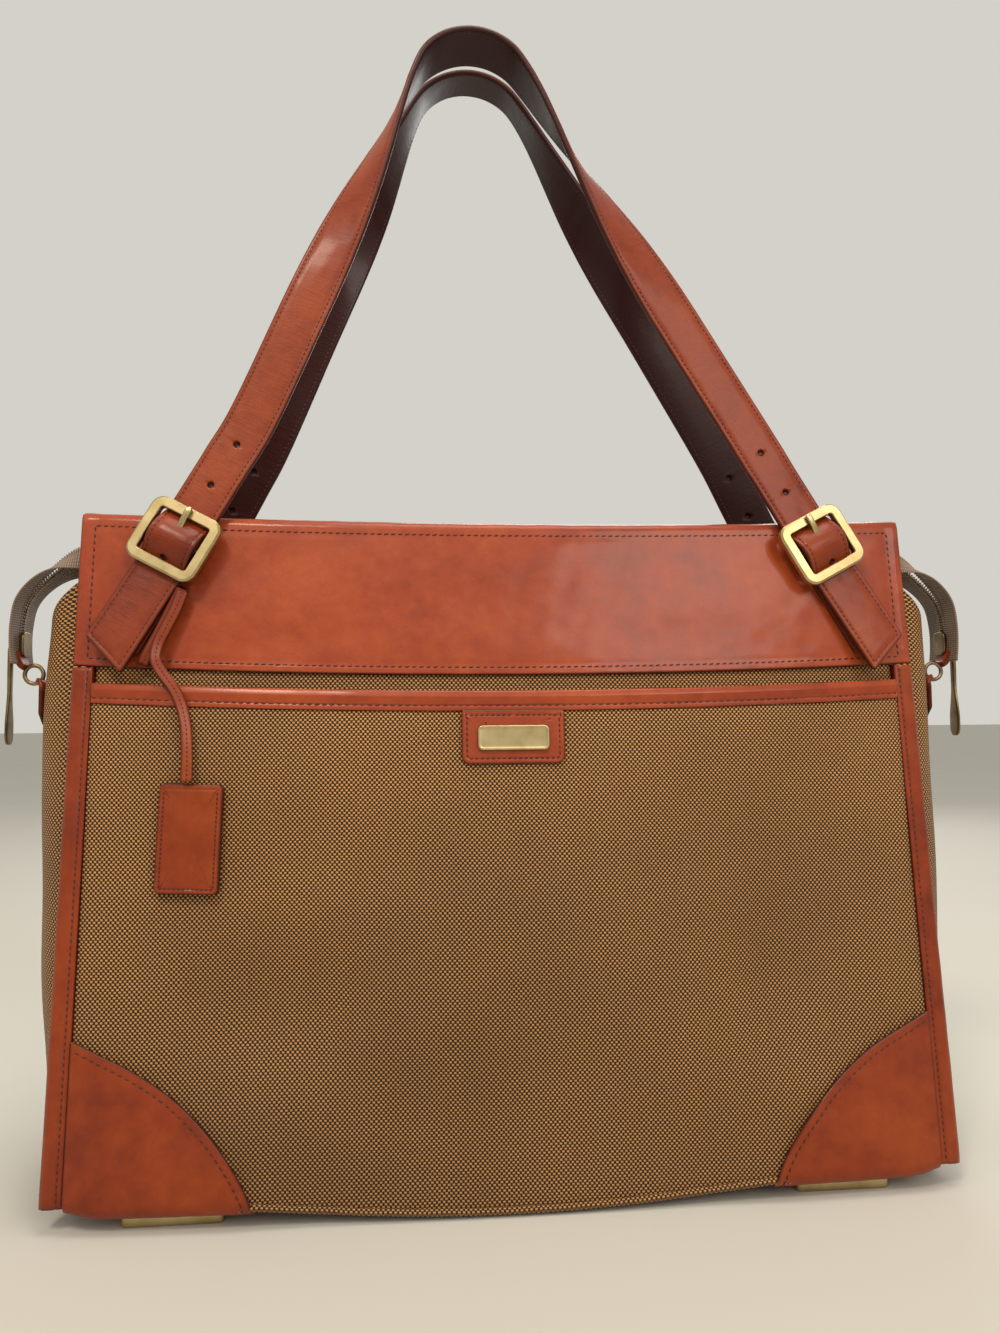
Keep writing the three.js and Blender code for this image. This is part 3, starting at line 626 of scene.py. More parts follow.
def makeLeather(name, light, middle, dark, under, creased=0.0, coat=0.3):
    # vegetable-tanned calf with a glazed, hand-rubbed finish: a cloudy cognac that is darker where it
    # was burnished at the edges, a fine grain, faint long creases and a wax gloss over it
    material, tree, shader = newMaterial(name)
    spots = addNode(tree, "TexCoord")
    place = spots.outputs["Object"]
    cloud = addNode(tree, "TexNoise", {"Scale": 14.0, "Detail": 5.0, "Roughness": 0.62}, {"Vector": place})
    mottle = addNode(tree, "TexNoise", {"Scale": 130.0, "Detail": 4.0, "Roughness": 0.6}, {"Vector": place})
    mixed = addNode(tree, "Math", {"operation": "MULTIPLY_ADD", 1: 0.35}, {0: mottle, 2: cloud})
    tint = addNode(tree, "ValToRGB", {"stops": [(0.48, dark), (0.86, light), (0.66, middle)]}, {0: mixed})
    rim = addNode(tree, "Attribute", {"attribute_name": "rim"})
    burnt = addNode(tree, "MapRange", {"From Min": 0.2, "From Max": 1.1, "To Min": 0.85, "To Max": 0.0},
                    {0: rim.outputs["Fac"]})
    edged = addNode(tree, "Mix", {"data_type": "RGBA", 7: hexColor(under)}, {0: burnt, 6: tint})
    flesh = addNode(tree, "Attribute", {"attribute_name": "under"})
    color = addNode(tree, "Mix", {"data_type": "RGBA", 7: hexColor(under)},
                    {0: flesh.outputs["Fac"], 6: edged.outputs[2]})
    # the grain's cells are 0.9 mm across
    grain = addNode(tree, "TexVoronoi", {"Scale": 1100.0, "feature": "SMOOTH_F1"}, {"Vector": place})
    fine = addNode(tree, "TexNoise", {"Scale": 2400.0, "Detail": 2.0}, {"Vector": place})
    cut = addNode(tree, "UVMap", {"uv_map": "cut"})
    lines = addNode(tree, "Mapping", {"Scale": (420.0, 60.0, 1.0)}, {"Vector": cut})
    crease = addNode(tree, "TexNoise", {"Scale": 1.0, "Detail": 5.0, "Distortion": 1.2}, {"Vector": lines})
    veins = addNode(tree, "TexNoise", {"Scale": 34.0, "Detail": 4.0, "Distortion": 1.6}, {"Vector": place})
    ridge = addNode(tree, "Math", {"operation": "PINGPONG", 1: 0.06}, {0: veins})
    first = addNode(tree, "Math", {"operation": "MULTIPLY_ADD", 1: 0.5}, {0: fine, 2: grain})
    second = addNode(tree, "Math", {"operation": "MULTIPLY_ADD", 1: 5.0 * creased}, {0: crease, 2: first})
    third = addNode(tree, "Math", {"operation": "MULTIPLY_ADD", 1: 9.0}, {0: ridge, 2: second})
    bump = addNode(tree, "Bump", {"Strength": 0.32, "Distance": 0.00012}, {"Height": third})
    gloss = addNode(tree, "MapRange", {"From Min": 0.35, "From Max": 0.75, "To Min": 0.3, "To Max": 0.5},
                    {0: mixed})
    setShader(tree, shader, {"Base Color": color.outputs[2], "Roughness": gloss, "Normal": bump},
              {"Coat Weight": coat, "Coat Roughness": 0.18, "Specular IOR Level": 0.2})
    return material


def makeThread(name, color):
    # waxed polyester sewing thread: a maroon with a tight twist and a dull gloss
    material, tree, shader = newMaterial(name)
    spots = addNode(tree, "TexCoord")
    ply = addNode(tree, "TexWave", {"Scale": 700.0, "bands_direction": "DIAGONAL"},
                  {"Vector": spots.outputs["Object"]})
    twist = ply.outputs["Fac"]
    tint = addNode(tree, "ValToRGB", {"stops": [(0.0, "#200604"), (1.0, color)]}, {0: twist})
    bump = addNode(tree, "Bump", {"Strength": 0.4, "Distance": 0.0001}, {"Height": twist})
    setShader(tree, shader, {"Base Color": tint, "Normal": bump}, {"Roughness": 0.55})
    return material


def makeMetal(name, color, shade, roughness, scratch):
    # plated zinc hardware: satin brass is brushed and lacquered, antique bronze is toned dark and
    # rubbed bright on its edges; fine lines and a cloudy tone break up the reflections
    material, tree, shader = newMaterial(name)
    spots = addNode(tree, "TexCoord")
    place = spots.outputs["Object"]
    cloud = addNode(tree, "TexNoise", {"Scale": 90.0, "Detail": 4.0}, {"Vector": place})
    tint = addNode(tree, "ValToRGB", {"stops": [(0.3, shade), (0.62, color)]}, {0: cloud})
    brushed = addNode(tree, "Mapping", {"Scale": (900.0, 900.0, 7000.0)}, {"Vector": place})
    lines = addNode(tree, "TexNoise", {"Scale": 1.0, "Detail": 2.0}, {"Vector": brushed})
    gloss = addNode(tree, "MapRange", {"To Min": roughness - 0.08, "To Max": roughness + 0.12}, {0: lines})
    bump = addNode(tree, "Bump", {"Strength": scratch, "Distance": 0.00003}, {"Height": lines})
    setShader(tree, shader, {"Base Color": tint, "Roughness": gloss, "Normal": bump}, {"Metallic": 1.0})
    return material


def makeRibbed(name, light, dark, pitch, roughness):
    # narrow woven goods, such as zip tape and lining twill: a taupe with close ribs across its length
    material, tree, shader = newMaterial(name)
    cut = addNode(tree, "UVMap", {"uv_map": "cut"})
    ribs = (2 * math.pi / pitch, math.pi / pitch, 0)
    turns = addNode(tree, "VectorMath", {"operation": "MULTIPLY", 1: ribs}, {0: cut})
    sines = addNode(tree, "VectorMath", {"operation": "SINE"}, {0: turns})
    parts = addNode(tree, "SeparateXYZ", {}, {0: sines})
    rib = addNode(tree, "Math", {"operation": "MULTIPLY_ADD", 1: 0.45}, {0: parts.outputs[1], 2: parts})
    level = addNode(tree, "MapRange", {"From Min": -1.3, "From Max": 1.3}, {0: rib})
    tint = addNode(tree, "ValToRGB", {"stops": [(0.1, dark), (0.9, light)]}, {0: level})
    bump = addNode(tree, "Bump", {"Strength": 0.6, "Distance": 0.0002}, {"Height": level})
    setShader(tree, shader, {"Base Color": tint, "Normal": bump},
              {"Roughness": roughness, "Sheen Weight": 0.15})
    return material


def makePlain(name, light, dark, scale, roughness):
    # pressed fibre board and wall paint: a matt tone with a faint grain
    material, tree, shader = newMaterial(name)
    spots = addNode(tree, "TexCoord")
    grain = addNode(tree, "TexNoise", {"Scale": scale, "Detail": 4.0}, {"Vector": spots.outputs["Object"]})
    tint = addNode(tree, "ValToRGB", {"stops": [(0.35, dark), (0.65, light)]}, {0: grain})
    setShader(tree, shader, {"Base Color": tint}, {"Roughness": roughness})
    return material


khakiNylon = makeNylon("khaki ballistic nylon", "#c58f50", "#8a5c2e", "#211307")
trimLeather = makeLeather("glazed cognac calf", "#a0461e", "#903817", "#7a2d12", "#431409")
strapLeather = makeLeather("glazed cognac strap calf", "#8c3b18", "#7d2f11", "#68240e", "#2f0c08", 1.0, 0.14)
# a darker, more saturated copy of the cognac calf, for the corner patches, edge bindings, luggage tag and its
# lace
deepCognacLeather = makeLeather("deep cognac calf", "#8e3a0a", "#7e2d08", "#642007", "#360f06", 0.4, 0.24)
seamThread = makeThread("waxed maroon thread", "#4a120c")
satinBrass = makeMetal("satin brass plate", "#c6b386", "#ab9769", 0.34, 0.25)
agedBronze = makeMetal("antique bronze plate", "#8f7c5e", "#5c4c36", 0.34, 0.35)
zipCloth = makeRibbed("taupe zip tape", "#8a7360", "#4c3b2d", 0.0012, 0.75)
liningTwill = makeRibbed("dark lining twill", "#4a3d31", "#241c15", 0.0011, 0.85)
fibreBoard = makePlain("grey fibre board", "#4a4846", "#2c2a28", 400.0, 0.9)
palePaint = makePlain("pale matt paint", "#c1beb6", "#bfbcb3", 3.0, 0.95)

print("materials made")


# the flat lace that the tag hangs on: out from under the strap, round a bend and straight down.
# Places across and up the front, and how far out from the woven panel each of them is
lace = {
    "route": [(-160.5, 291), (-163.5, 282), (-167.5, 273), (-171, 264.5), (-171.5, 257), (-167.5, 250),
              (-162, 243), (-158, 235), (-155.5, 226), (-154.5, 217), (-154, 208), (-153.8, 199)],
    "out": [9, 9.4, 9.8, 10.4, 11, 11.6, 12.2, 12.6, 13, 13, 13, 13],
    "wide": 5.6,
    "thick": 2.0,
    "pitch": 2.1,
}
laceLoop = {
    # the spare turn of the lace, folded back on itself beside the strap and under the strand
    "route": [(-161.3, 293.5), (-165.4, 284), (-170, 274), (-174.3, 265), (-177.7, 258), (-179, 255.3),
              (-177.7, 258), (-174.3, 265), (-170, 274), (-165.4, 284), (-161.3, 292.5)],
    "out": [3.7, 3.7, 3.7, 3.7, 3.9, 5.1, 6.4, 6.6, 6.7, 6.9, 7.2],
}
tag = {"x": -152.5, "z": 172, "wide": 30, "high": 51, "thick": 4.4, "stand": 1.2, "turn": -2, "corner": 2.5,
       "inset": 2.4, "pitch": 2.1}


def laceStrip(name, way, stands=(), folded=False):
    # a flat strip carried along a route: an oval section that faces out from the bag
    route = np.array(way["route"], float)
    line = smoothPath(onFace(front, route[:, 0], route[:, 1], np.array(way["out"], float)), 1.0)
    tangent = tangentsOf(line)
    outward = np.array([0, -1, 0]) + 0.55 * np.sin(np.linspace(0.2, 2.9, len(line)))[:, None] * [1.0, 0, 0.2]
    if folded:
        # a folded strip keeps its width direction across its own fold
        run = unit(line[0] - line[len(line) // 2])
        flat = unit(np.cross(run, [0, -1.0, 0]))
        outward = np.cross(np.broadcast_to(flat, tangent.shape), tangent)
        outward = outward * -np.sign(outward[-1, 1])
    outward = unit(outward - tangent * np.sum(tangent * outward, 1, keepdims=True))
    sideways = np.cross(tangent, outward)
    turn = fullTurn(24)
    across = squarer(np.cos(turn), 0.55) * lace["wide"] / 2
    out = squarer(np.sin(turn), 0.6) * lace["thick"] / 2
    out = out - 0.25 * np.exp(-(across / 0.5) ** 2) * (out > 0)
    rings = line[:, None] + across[:, None] * sideways[:, None] + out[:, None] * outward[:, None]
    points, quads = tubeOf(rings)
    rim = np.broadcast_to(lace["wide"] / 2 - np.abs(across), (len(line) + 2, 24))
    under = np.broadcast_to((out < -0.4).astype(float), (len(line) + 2, 24))
    piece = makePiece(name, points, quads, deepCognacLeather, body="tag", rim=rim, under=under, stands=stands)
    top = line + outward * (lace["thick"] / 2 - 0.2)
    row = stitchRow(top, outward, lace["pitch"])
    stitches = stitchPiece(name + "_stitches", [row], 1.4, 0.55, 0.5, body="tag")
    return piece, stitches, line


def makeTag():
    # two layers of leather sewn round three sides, a little wavy, with a small pressed window
    place = frameOn(front, tag["x"], tag["z"], pocketOut)
    turn = math.radians(tag["turn"])
    outline = boxOutline(tag["wide"], tag["high"], tag["corner"], 5)
    outline = evenly(np.vstack([outline, outline[:1]]), 1.5)[:-1]
    thick = tag["thick"]
    profile = edgeProfile(thick, 0.9, groove=tag["inset"])

    def onTag(x, y, n):
        wave = 0.5 * np.sin(x / 6 + 0.6) * smoothStep(y, 12, 25) + 0.35 * waveNoise(x, y, 26, 5)
        toFrame = np.abs(np.maximum(np.abs(x - 1.5) - 1.6, np.abs(y + 17) - 5.2))
        frameDepth = 0.5 * np.clip(1.2 - toFrame, 0, 0.6)
        pressed = frameDepth * (n > thick * 0.7)
        c, s = math.cos(turn), math.sin(turn)
        return inFrame(place, x * c - y * s, x * s + y * c, tag["stand"] + n + wave * n / thick - pressed)

    fills = (0.96, 0.92, 0.88, 0.84, 0.8, 0.76, 0.72, 0.68, 0.64, 0.6,
             0.55, 0.5, 0.45, 0.4, 0.34, 0.28, 0.2, 0.1)
    points, quads = plateOf(outline, profile, onTag, fills)
    rim, high, under = plateMarks(profile, len(outline), thick, 0.4, fills)
    # the line between the two layers is dark
    rim = np.where((np.abs(high - thick / 2) < 0.3) & (rim < 0.5), 0.0, rim)
    piece = makePiece("luggage_tag_body", points, quads, deepCognacLeather, body="tag", rim=rim, under=under,
                      stands=("luggage_tag",))
    inner = insetOf(outline, tag["inset"])
    # the stitches start below the open top corner on one side and end below the other
    start = int(np.argmax(inner[:, 1] + inner[:, 0] * 0.01))
    inner = np.roll(inner, -start, 0)
    sewn = inner[inner[:, 1] < tag["high"] / 2 - 3.2]
    order = np.argsort(np.arctan2(sewn[:, 0], -sewn[:, 1]))
    sewn = sewn[order]
    line = onTag(sewn[:, 0], sewn[:, 1], np.full(len(sewn), thick)) - 0.1 * place[1][2]
    normal = np.broadcast_to(place[1][2], line.shape)
    row = stitchRow(line, normal, tag["pitch"])
    stitches = stitchPiece("luggage_tag_stitches", [row], 1.5, 0.6, 0.5, body="tag")
    return piece, stitches


lacePiece, laceStitches, laceLine = laceStrip("tag_lace_strip", lace, ("tag_lace",))
loopPieces = laceStrip("lace_loop", laceLoop, folded=True)[:2]
tagPieces = makeTag()


# shell of woven nylon

shell = {"columns": 150, "rows": 110}


def softBody(x, z, side):
    # slow waves of a filled soft bag: hollows above the corner patches, a fold up from each of them,
    # a full belly between and a slack lower edge; all of it dies out towards the seams
    toTop = pocketTopAt(x) - bag["pocketHem"] - z
    fade = smoothStep(bag["panelHalf"] - np.abs(x), 0, 45) * smoothStep(z, 12, 60) * smoothStep(toTop, 2, 45)
    waves = 1.3 * waveNoise(x, z, 190, 12 + side) + 0.6 * waveNoise(x, z * 0.6, 80, 13 + side)
    hollow = (np.exp(-((x + 118) / 40) ** 2 - ((z - 94) / 34) ** 2)
              + np.exp(-((x - 130) / 36) ** 2 - ((z - 102) / 44) ** 2))
    crease = (np.exp(-((x + 92 - 0.4 * (z - 90)) / 12) ** 2)
              * smoothStep(z, 60, 95) * smoothStep(-z, -190, -120))
    belly = np.exp(-((x - 5) / 85) ** 2 - ((z - 135) / 55) ** 2)
    low = smoothStep(-z, -85, -15) * smoothStep(bag["panelHalf"] - np.abs(x), 70, 120)
    return fade * (waves - 7.5 * hollow - 1.6 * crease + 4.5 * belly) - 2.4 * low


def facePanel(name, side, outOf, thick, topOf, node):
    # the loft between base and top line, over a grid even in both directions
    x = np.linspace(-bag["panelHalf"], bag["panelHalf"], shell["columns"])
    v = np.linspace(0, 1, shell["rows"])
    x, v = np.meshgrid(x, v, indexing="ij")
    z = baseAt(x) + (topOf(x) - baseAt(x)) * v
    out = outOf(x, z) + softBody(x, z, side)
    edge = np.minimum(bag["panelHalf"] - np.abs(x), np.minimum(z - baseAt(x), topOf(x) - z))
    outer = onFace(side, x, z, out - 0.8 * (1 - rounded(edge, 2)))
    inner = onFace(side, x, z, out - thick)
    points, quads = sheetOf(outer, inner)
    return makePiece(name, points, quads, khakiNylon, uv=bothSides(x, z), stands=(node,))


def panelTop(x):
    return rimAt(x) - bag["leather"] - 2 * bag["gap"]


def pocketPanelTop(x):
    return pocketTopAt(x) - bag["pocketHem"] - bag["gap"] + 1.5


facePanel("front_shell", front, lambda x, z: 0 * x, bag["cloth"], panelTop, "front_panel")
facePanel("back_shell", back, lambda x, z: 0 * x, bag["cloth"], panelTop, "back_panel")
facePanel("pocket_shell", front, pocketOut, bag["leather"], pocketPanelTop, "front_pocket")


def gussetShell(name, hand, node, seed):
    # an end panel: it swells out like a sail between its bindings, with slack folds near its top
    v = np.linspace(-1, 1, 90)
    u = np.linspace(0, 1, 120)
    v, u = np.meshgrid(v, u, indexing="ij")
    lowZ = baseAt(gussetX(v, 16))
    z = lowZ + (gussetTop(v) - lowZ) * u
    fade = (1 - v ** 2) * smoothStep(z, 20, 80)
    folds = fade * (1.3 * waveNoise(v * 60, z, 120, seed)
                    + 0.9 * np.sin(v * 7 + 0.5) * smoothStep(z, 220, 300))
    x = gussetX(v, z) + folds
    outer = pointsOf(hand * x, v * gussetHalf(z), z)
    inner = pointsOf(hand * (x - bag["cloth"]), v * gussetHalf(z), z)
    points, quads = sheetOf(outer, inner)
    # the cloth is a quarter longer across than the panel is deep, because it bellies out
    uv = bothSides(v * gussetHalf(z) * 1.25, z)
    makePiece(name, points, quads, khakiNylon, uv=uv, stands=(node,))


gussetShell("left_gusset_shell", left, "left_gusset", 21)
gussetShell("right_gusset_shell", right, "right_gusset", 22)


def bottomShell():
    # the woven base: the underside line carried from front to back
    u = np.linspace(-1, 1, 140)
    v = np.linspace(-1, 1, 50)
    u, v = np.meshgrid(u, v, indexing="ij")
    reachX = gussetX(v, 16) - bag["cloth"] - bag["gap"] - 1.4
    x = u * reachX
    z = baseAt(x)
    depth = halfDepth(z) + bulgeAt(z) * crown(x) - bag["cloth"] - bag["gap"]
    y = v * (depth + bag["backExtra"] * crown(x) * (v > 0))
    points, quads = sheetOf(pointsOf(x, y, z), pointsOf(x, y, z + bag["cloth"]))
    makePiece("bottom_shell", points, quads, khakiNylon, uv=bothSides(x, y), stands=("bottom_panel",))


bottomShell()


def basePiping(sideName, side):
    # a corded edge of the same cloth along the base seam, between the corner patches
    x = np.linspace(-128, 128, 130)
    z = baseAt(x) + 1.2
    line = onFace(side, x, z, (1.0 if side == back else 2.6) + softBody(x, z, side))
    tangent = tangentsOf(line)
    outward = np.cross(tangent, [0, 0, 1.0])
    turn = fullTurn(14)
    rings = (line[:, None] + 1.6 * np.cos(turn)[:, None] * unit(outward)[:, None]
             + 1.6 * np.sin(turn)[:, None] * np.array([0, 0, 1.0]))
    points, quads = tubeOf(rings)
    along = np.concatenate([x[:1], x, x[-1:]])
    uv = np.stack(np.broadcast_arrays(along[:, None], 1.6 * turn[None]), -1)
    makePiece(sideName + "_base_piping", points, quads, khakiNylon, uv=uv)


for sideName, side in sides:
    basePiping(sideName, side)
print("woven shell made")


# leather trim of the mouth

band = {"inset": 3.9, "endInset": 7.0, "topInset": 3.6, "pitch": 3.5, "inner": 16, "length": 2.5}


def bandShape(side):
    # the middle of the leather: up the face, over the rim in a half circle and down inside
    outFace = bag["gap"] + bag["leather"] / 2
    outInside = -bag["cloth"] - bag["gap"] - bag["leather"] / 2
    radius = (outFace - outInside) / 2

    def shape(x, s):
        top = rimAt(x) - bag["leather"] / 2 - radius
        up = top - bandLowAt(x)
        turn = np.clip((s - up) / radius, 0, math.pi)
        z = np.where(s < up, bandLowAt(x) + s, top + radius * np.sin(turn))
        z = np.where(s > up + math.pi * radius, top - (s - up - math.pi * radius), z)
        ease = (smoothStep(bag["halfWidth"] - np.abs(x), 0, 40)
                * smoothStep(s, 0, 20) * smoothStep(up - s, 0, 14))
        soft = ease * 0.55 * waveNoise(x, s * 1.3, 95, 31 + side)
        out = (outFace + outInside) / 2 + radius * np.cos(turn)
        return onFace(side, x, z, out + soft)

    return shape, radius


def topBand(sideName, side):
    shape, radius = bandShape(side)
    x = spacedLines(2 * bag["halfWidth"], 3.2) - bag["halfWidth"]
    share = spacedLines(100, 2.6) / 100
    u, w = np.meshgrid(x, share, indexing="ij")
    up = rimAt(u) - bag["leather"] / 2 - radius - bandLowAt(u)
    length = up + math.pi * radius + band["inner"] - radius - 1
    s = w * length
    edge = np.minimum(bag["halfWidth"] - np.abs(u), np.minimum(s, length - s))
    relief = 0.10 * waveNoise(u, s, 17, 41) + 0.06 * waveNoise(u, s, 7, 42)
    fromEnd = bag["halfWidth"] - np.abs(u)
    faceOnly = (s > band["inset"]) * (s < up)
    sewnEnd = (seamGroove(fromEnd, band["endInset"]) * faceOnly
               + 0.35 * smoothStep(band["endInset"] - fromEnd, 0.8, 3) * faceOnly)
    acrossFace = fromEnd > band["endInset"]
    sewnTop = (seamGroove(s, up - band["topInset"]) + seamGroove(s, band["inset"])) * acrossFace
    leatherSheet(sideName + "_band", shape, u, s, (0, side, 0), edge, trimLeather,
                 thick=bag["leather"], relief=relief + sewnEnd + sewnTop, stands=(sideName + "_top_band",))
    # one seam runs round the band's face: along the rim, down both ends and along the lower edge
    inset = band["inset"]
    end = bag["halfWidth"] - band["endInset"]
    xs = np.linspace(-end, end, 200)
    topS = rimAt(xs) - bag["leather"] / 2 - radius - bandLowAt(xs) - band["topInset"]
    rise = np.linspace(inset, topS[0], 40)
    runs = [(xs, np.full(200, inset)), (xs, topS), (np.full(40, xs[0]), rise), (np.full(40, xs[-1]), rise)]
    rows = []
    for along, high in runs:
        normal = facing(shape, along, high, (0, side, 0))
        onTop = shape(along, high) + normal * (bag["leather"] / 2 - 0.12)
        rows.append(stitchRow(onTop, normal, band["pitch"]))
    stitchPiece(sideName + "_band_stitches", rows, band["length"])


for sideName, side in sides:
    topBand(sideName, side)

hem = {"inset": 2.6, "pitch": 3.6}


def pocketHem():
    # a strip folded over the pocket's mouth: rolled and full at the top, sewn flat at its lower edge
    x = np.linspace(-bag["panelHalf"], bag["panelHalf"], 180)
    high = bag["pocketHem"]
    outline = outlineOf([(0, -2.0), (0, 0.9), (2.0, 0.95), (2.7, 0.6), (3.4, 1.15), (7, 1.9),
                         (high, 1.2), (high, -2.0)],
                        [0.2, 0.5, 0.5, 0.4, 0.4, 1.2, 1.2, 0.8], 3)
    z = pocketTopAt(x)[:, None] - high + outline[:, 0]
    ripple = 0.25 * waveNoise(x, 0 * x, 38, 51)[:, None] * (outline[:, 1] > 0)
    rings = onFace(front, np.broadcast_to(x[:, None], z.shape), z,
                   pocketOut(x[:, None], z) + outline[:, 1] + ripple)
    points, quads = tubeOf(rings)
    rim = np.broadcast_to(outline[:, 0] + 0.4, (len(x) + 2, len(outline)))
    makePiece("pocket_hem", points, quads, trimLeather, rim=rim, stands=("pocket_binding",))
    zs = pocketTopAt(x) - high + hem["inset"]
    line = onFace(front, x, zs, pocketOut(x, zs) + 0.72)
    normal = np.broadcast_to([0, -1.0, 0.1], line.shape)
    stitchPiece("pocket_hem_stitches", [stitchRow(line, normal, hem["pitch"])], 2.5)


pocketHem()

binding = {"wide": 10.5, "inset": 2.7, "pitch": 3.0, "low": 11.5}


def edgeBinding(name, side, hand, node):
    # a leather edge rolled round the seam of face and end panel
    z = np.linspace(binding["low"], bag["bandLowZ"] - bag["gap"] - 0.6, 130)
    outline = outlineOf([(0, -4.8), (8.5, -4.8), (binding["wide"], -3), (binding["wide"], 1.6), (8.3, 3.3),
                         (4.2, 3.1), (3.3, 2.75), (2.6, 2.35), (1.9, 2.7), (0, 2.5)],
                        [0.6, 1.4, 1.4, 1.8, 1.8, 0.5, 0.4, 0.4, 0.4, 0.9], 3)
    ease = smoothStep(z, binding["low"], binding["low"] + 5) ** 0.5
    x = bag["panelHalf"] + 0.6 + outline[:, 0]
    grow = 0.35 * waveNoise(z, 0 * z, 34, 61 + side * 2 + hand)[:, None] * (outline[:, 0] > 3)
    out = outline[:, 1] * (0.75 + 0.25 * ease[:, None]) + grow * (outline[:, 1] > 0)
    rings = onFace(side, hand * np.broadcast_to(x, out.shape), np.broadcast_to(z[:, None], out.shape), out)
    points, quads = tubeOf(rings)
    rim = np.broadcast_to(outline[:, 0] + 0.8, (len(z) + 2, len(outline)))
    makePiece(name + "_edge", points, quads, deepCognacLeather, rim=rim, stands=(node,))
    zs = np.linspace(binding["low"] + 2, bag["bandLowZ"] - 2, 120)
    line = onFace(side, hand * (bag["panelHalf"] + 0.6 + binding["inset"]), zs, 2.45)
    normal = np.broadcast_to([0, float(side), 0.05], line.shape)
    stitchPiece(name + "_edge_stitches", [stitchRow(line, normal, binding["pitch"])], 2.1)


corner = {"high": 75, "wide": 84, "power": 1.5, "under": 20, "bend": 5, "inset": 3.8, "pitch": 3.6}


def cornerPatch(name, side, hand, node):
    # leather inside a superellipse about the bag's lower corner, round the base and back under it.
    # a is the way in from the binding, b the way up round the bend, so the cut lies flat in a and b
    seat = 3.2 if side == front else 0.8
    bend = corner["bend"]
    power = 2 / corner["power"]

    def shape(a, b):
        x = bag["panelHalf"] - a
        low = baseAt(x) - 1.4
        quarter = bend * math.pi / 2
        turn = np.clip(b / bend, 0, math.pi / 2)
        z = low + bend * (1 - np.cos(turn)) + np.maximum(b - quarter, 0)
        full = (0.7 * smoothStep(a, 0, 30) * smoothStep(b, 0, 30)
                * (1 + waveNoise(a, b, 55, 71 + side + 2 * hand)))
        high = np.maximum(z, low + bend)
        face = onFace(side, hand * x, high, seat + 1.0 + full + softBody(hand * x, high, side))
        y = face[..., 1] - side * (bend * (1 - np.sin(turn)) + np.maximum(-b, 0))
        return pointsOf(face[..., 0], y, z)

    ray = spacedLines(80, 2.4) / 80
    swing = np.sort(1 - spacedLines(90, 3) / 90) * math.pi / 2
    below = -spacedLines(corner["under"], 2.2)[1:]
    ray, row = np.meshgrid(ray, np.arange(len(swing) + len(below)), indexing="ij")
    angle = np.concatenate([swing[::-1], 0 * below])[row]
    a = ray * corner["wide"] * np.cos(angle) ** power
    b = ray * corner["high"] * np.sin(angle) ** power + np.concatenate([0 * swing, below])[row]
    # distance to the curved cut, from the superellipse's value and its slope
    face = np.clip(b, 0, None)
    p = corner["power"]
    value = (a / corner["wide"]) ** p + (face / corner["high"]) ** p
    slopeA = p / corner["wide"] * (np.maximum(a, 0.01) / corner["wide"]) ** (p - 1)
    slopeB = p / corner["high"] * (np.maximum(face, 0.01) / corner["high"]) ** (p - 1)
    toCurve = (1 - value) / np.hypot(slopeA, slopeB)
    edge = np.clip(np.minimum(np.minimum(a, toCurve), corner["under"] + b), 0, None)
    relief = seamGroove(np.where(b > -2, toCurve, 50), corner["inset"]) + 0.08 * waveNoise(a, b, 15, 75)
    leatherSheet(name + "_patch", shape, a, b, (0, side, 0), edge, deepCognacLeather,
                 relief=relief, stands=(node,))
    swing = np.linspace(0.02, 1, 90) * math.pi / 2
    # the seam follows the cut at its inset: step in along the slope of the superellipse
    cutA = corner["wide"] * np.cos(swing) ** power
    cutB = corner["high"] * np.sin(swing) ** power
    slope = unit(np.stack([p / corner["wide"] * (cutA / corner["wide"]) ** (p - 1),
                           p / corner["high"] * (cutB / corner["high"]) ** (p - 1)], 1))
    sewnA, sewnB = cutA - slope[:, 0] * corner["inset"], cutB - slope[:, 1] * corner["inset"]
    inside = (sewnA > 1.5) & (sewnB > 0)
    sewnA, sewnB = sewnA[inside], sewnB[inside]
    normal = facing(shape, sewnA, sewnB, (0, side, 0))
    row = stitchRow(shape(sewnA, sewnB) + normal * 0.85, normal, corner["pitch"])
    stitchPiece(name + "_patch_stitches", [row], 2.5)


foot = {"corner": 2.5, "lowRound": 0.9, "topRound": 0.5}


def baseFoot(name, node):
    # a solid brass bar with softened edges
    low, high = nodeBox(node)
    middle = (low + high) / 2
    outline = boxOutline(high[0] - low[0], high[1] - low[1], foot["corner"], 5)
    thick = high[2] - low[2]
    turn = np.linspace(0, math.pi / 2, 5)
    under, over = foot["lowRound"], foot["topRound"]
    lower = [(under * (1 - math.sin(a)), under * (1 - math.cos(a))) for a in turn]
    upper = [(over * (1 - math.cos(a)), thick - over * (1 - math.sin(a))) for a in turn]

    def place(x, y, n):
        return pointsOf(x + middle[0], y + middle[1], n + low[2])

    points, quads = plateOf(outline, [(1.6, 0.0)] + lower + upper + [(1.2, thick)], place)
    makePiece(name + "_block", points, quads, satinBrass, stands=(node,), sharp=40)


for sideName, side in sides:
    for handName, hand in hands:
        name = sideName + "_" + handName
        edgeBinding(name, side, hand, name + "_binding")
        cornerPatch(name, side, hand, name + "_corner")
        baseFoot(name + "_foot", name + "_foot")
print("trim and feet made")


# badge: a leather patch under the pocket's hem with a plain brass plate

badge = {"z": 218, "half": 25, "low": -12.5, "top": 13.5, "corner": 4, "topCorner": 0.8,
         "thick": 1.8, "inset": 2.6, "pitch": 2.6,
         "plateWide": 34.4, "plateHigh": 11.8, "plateThick": 1.4}


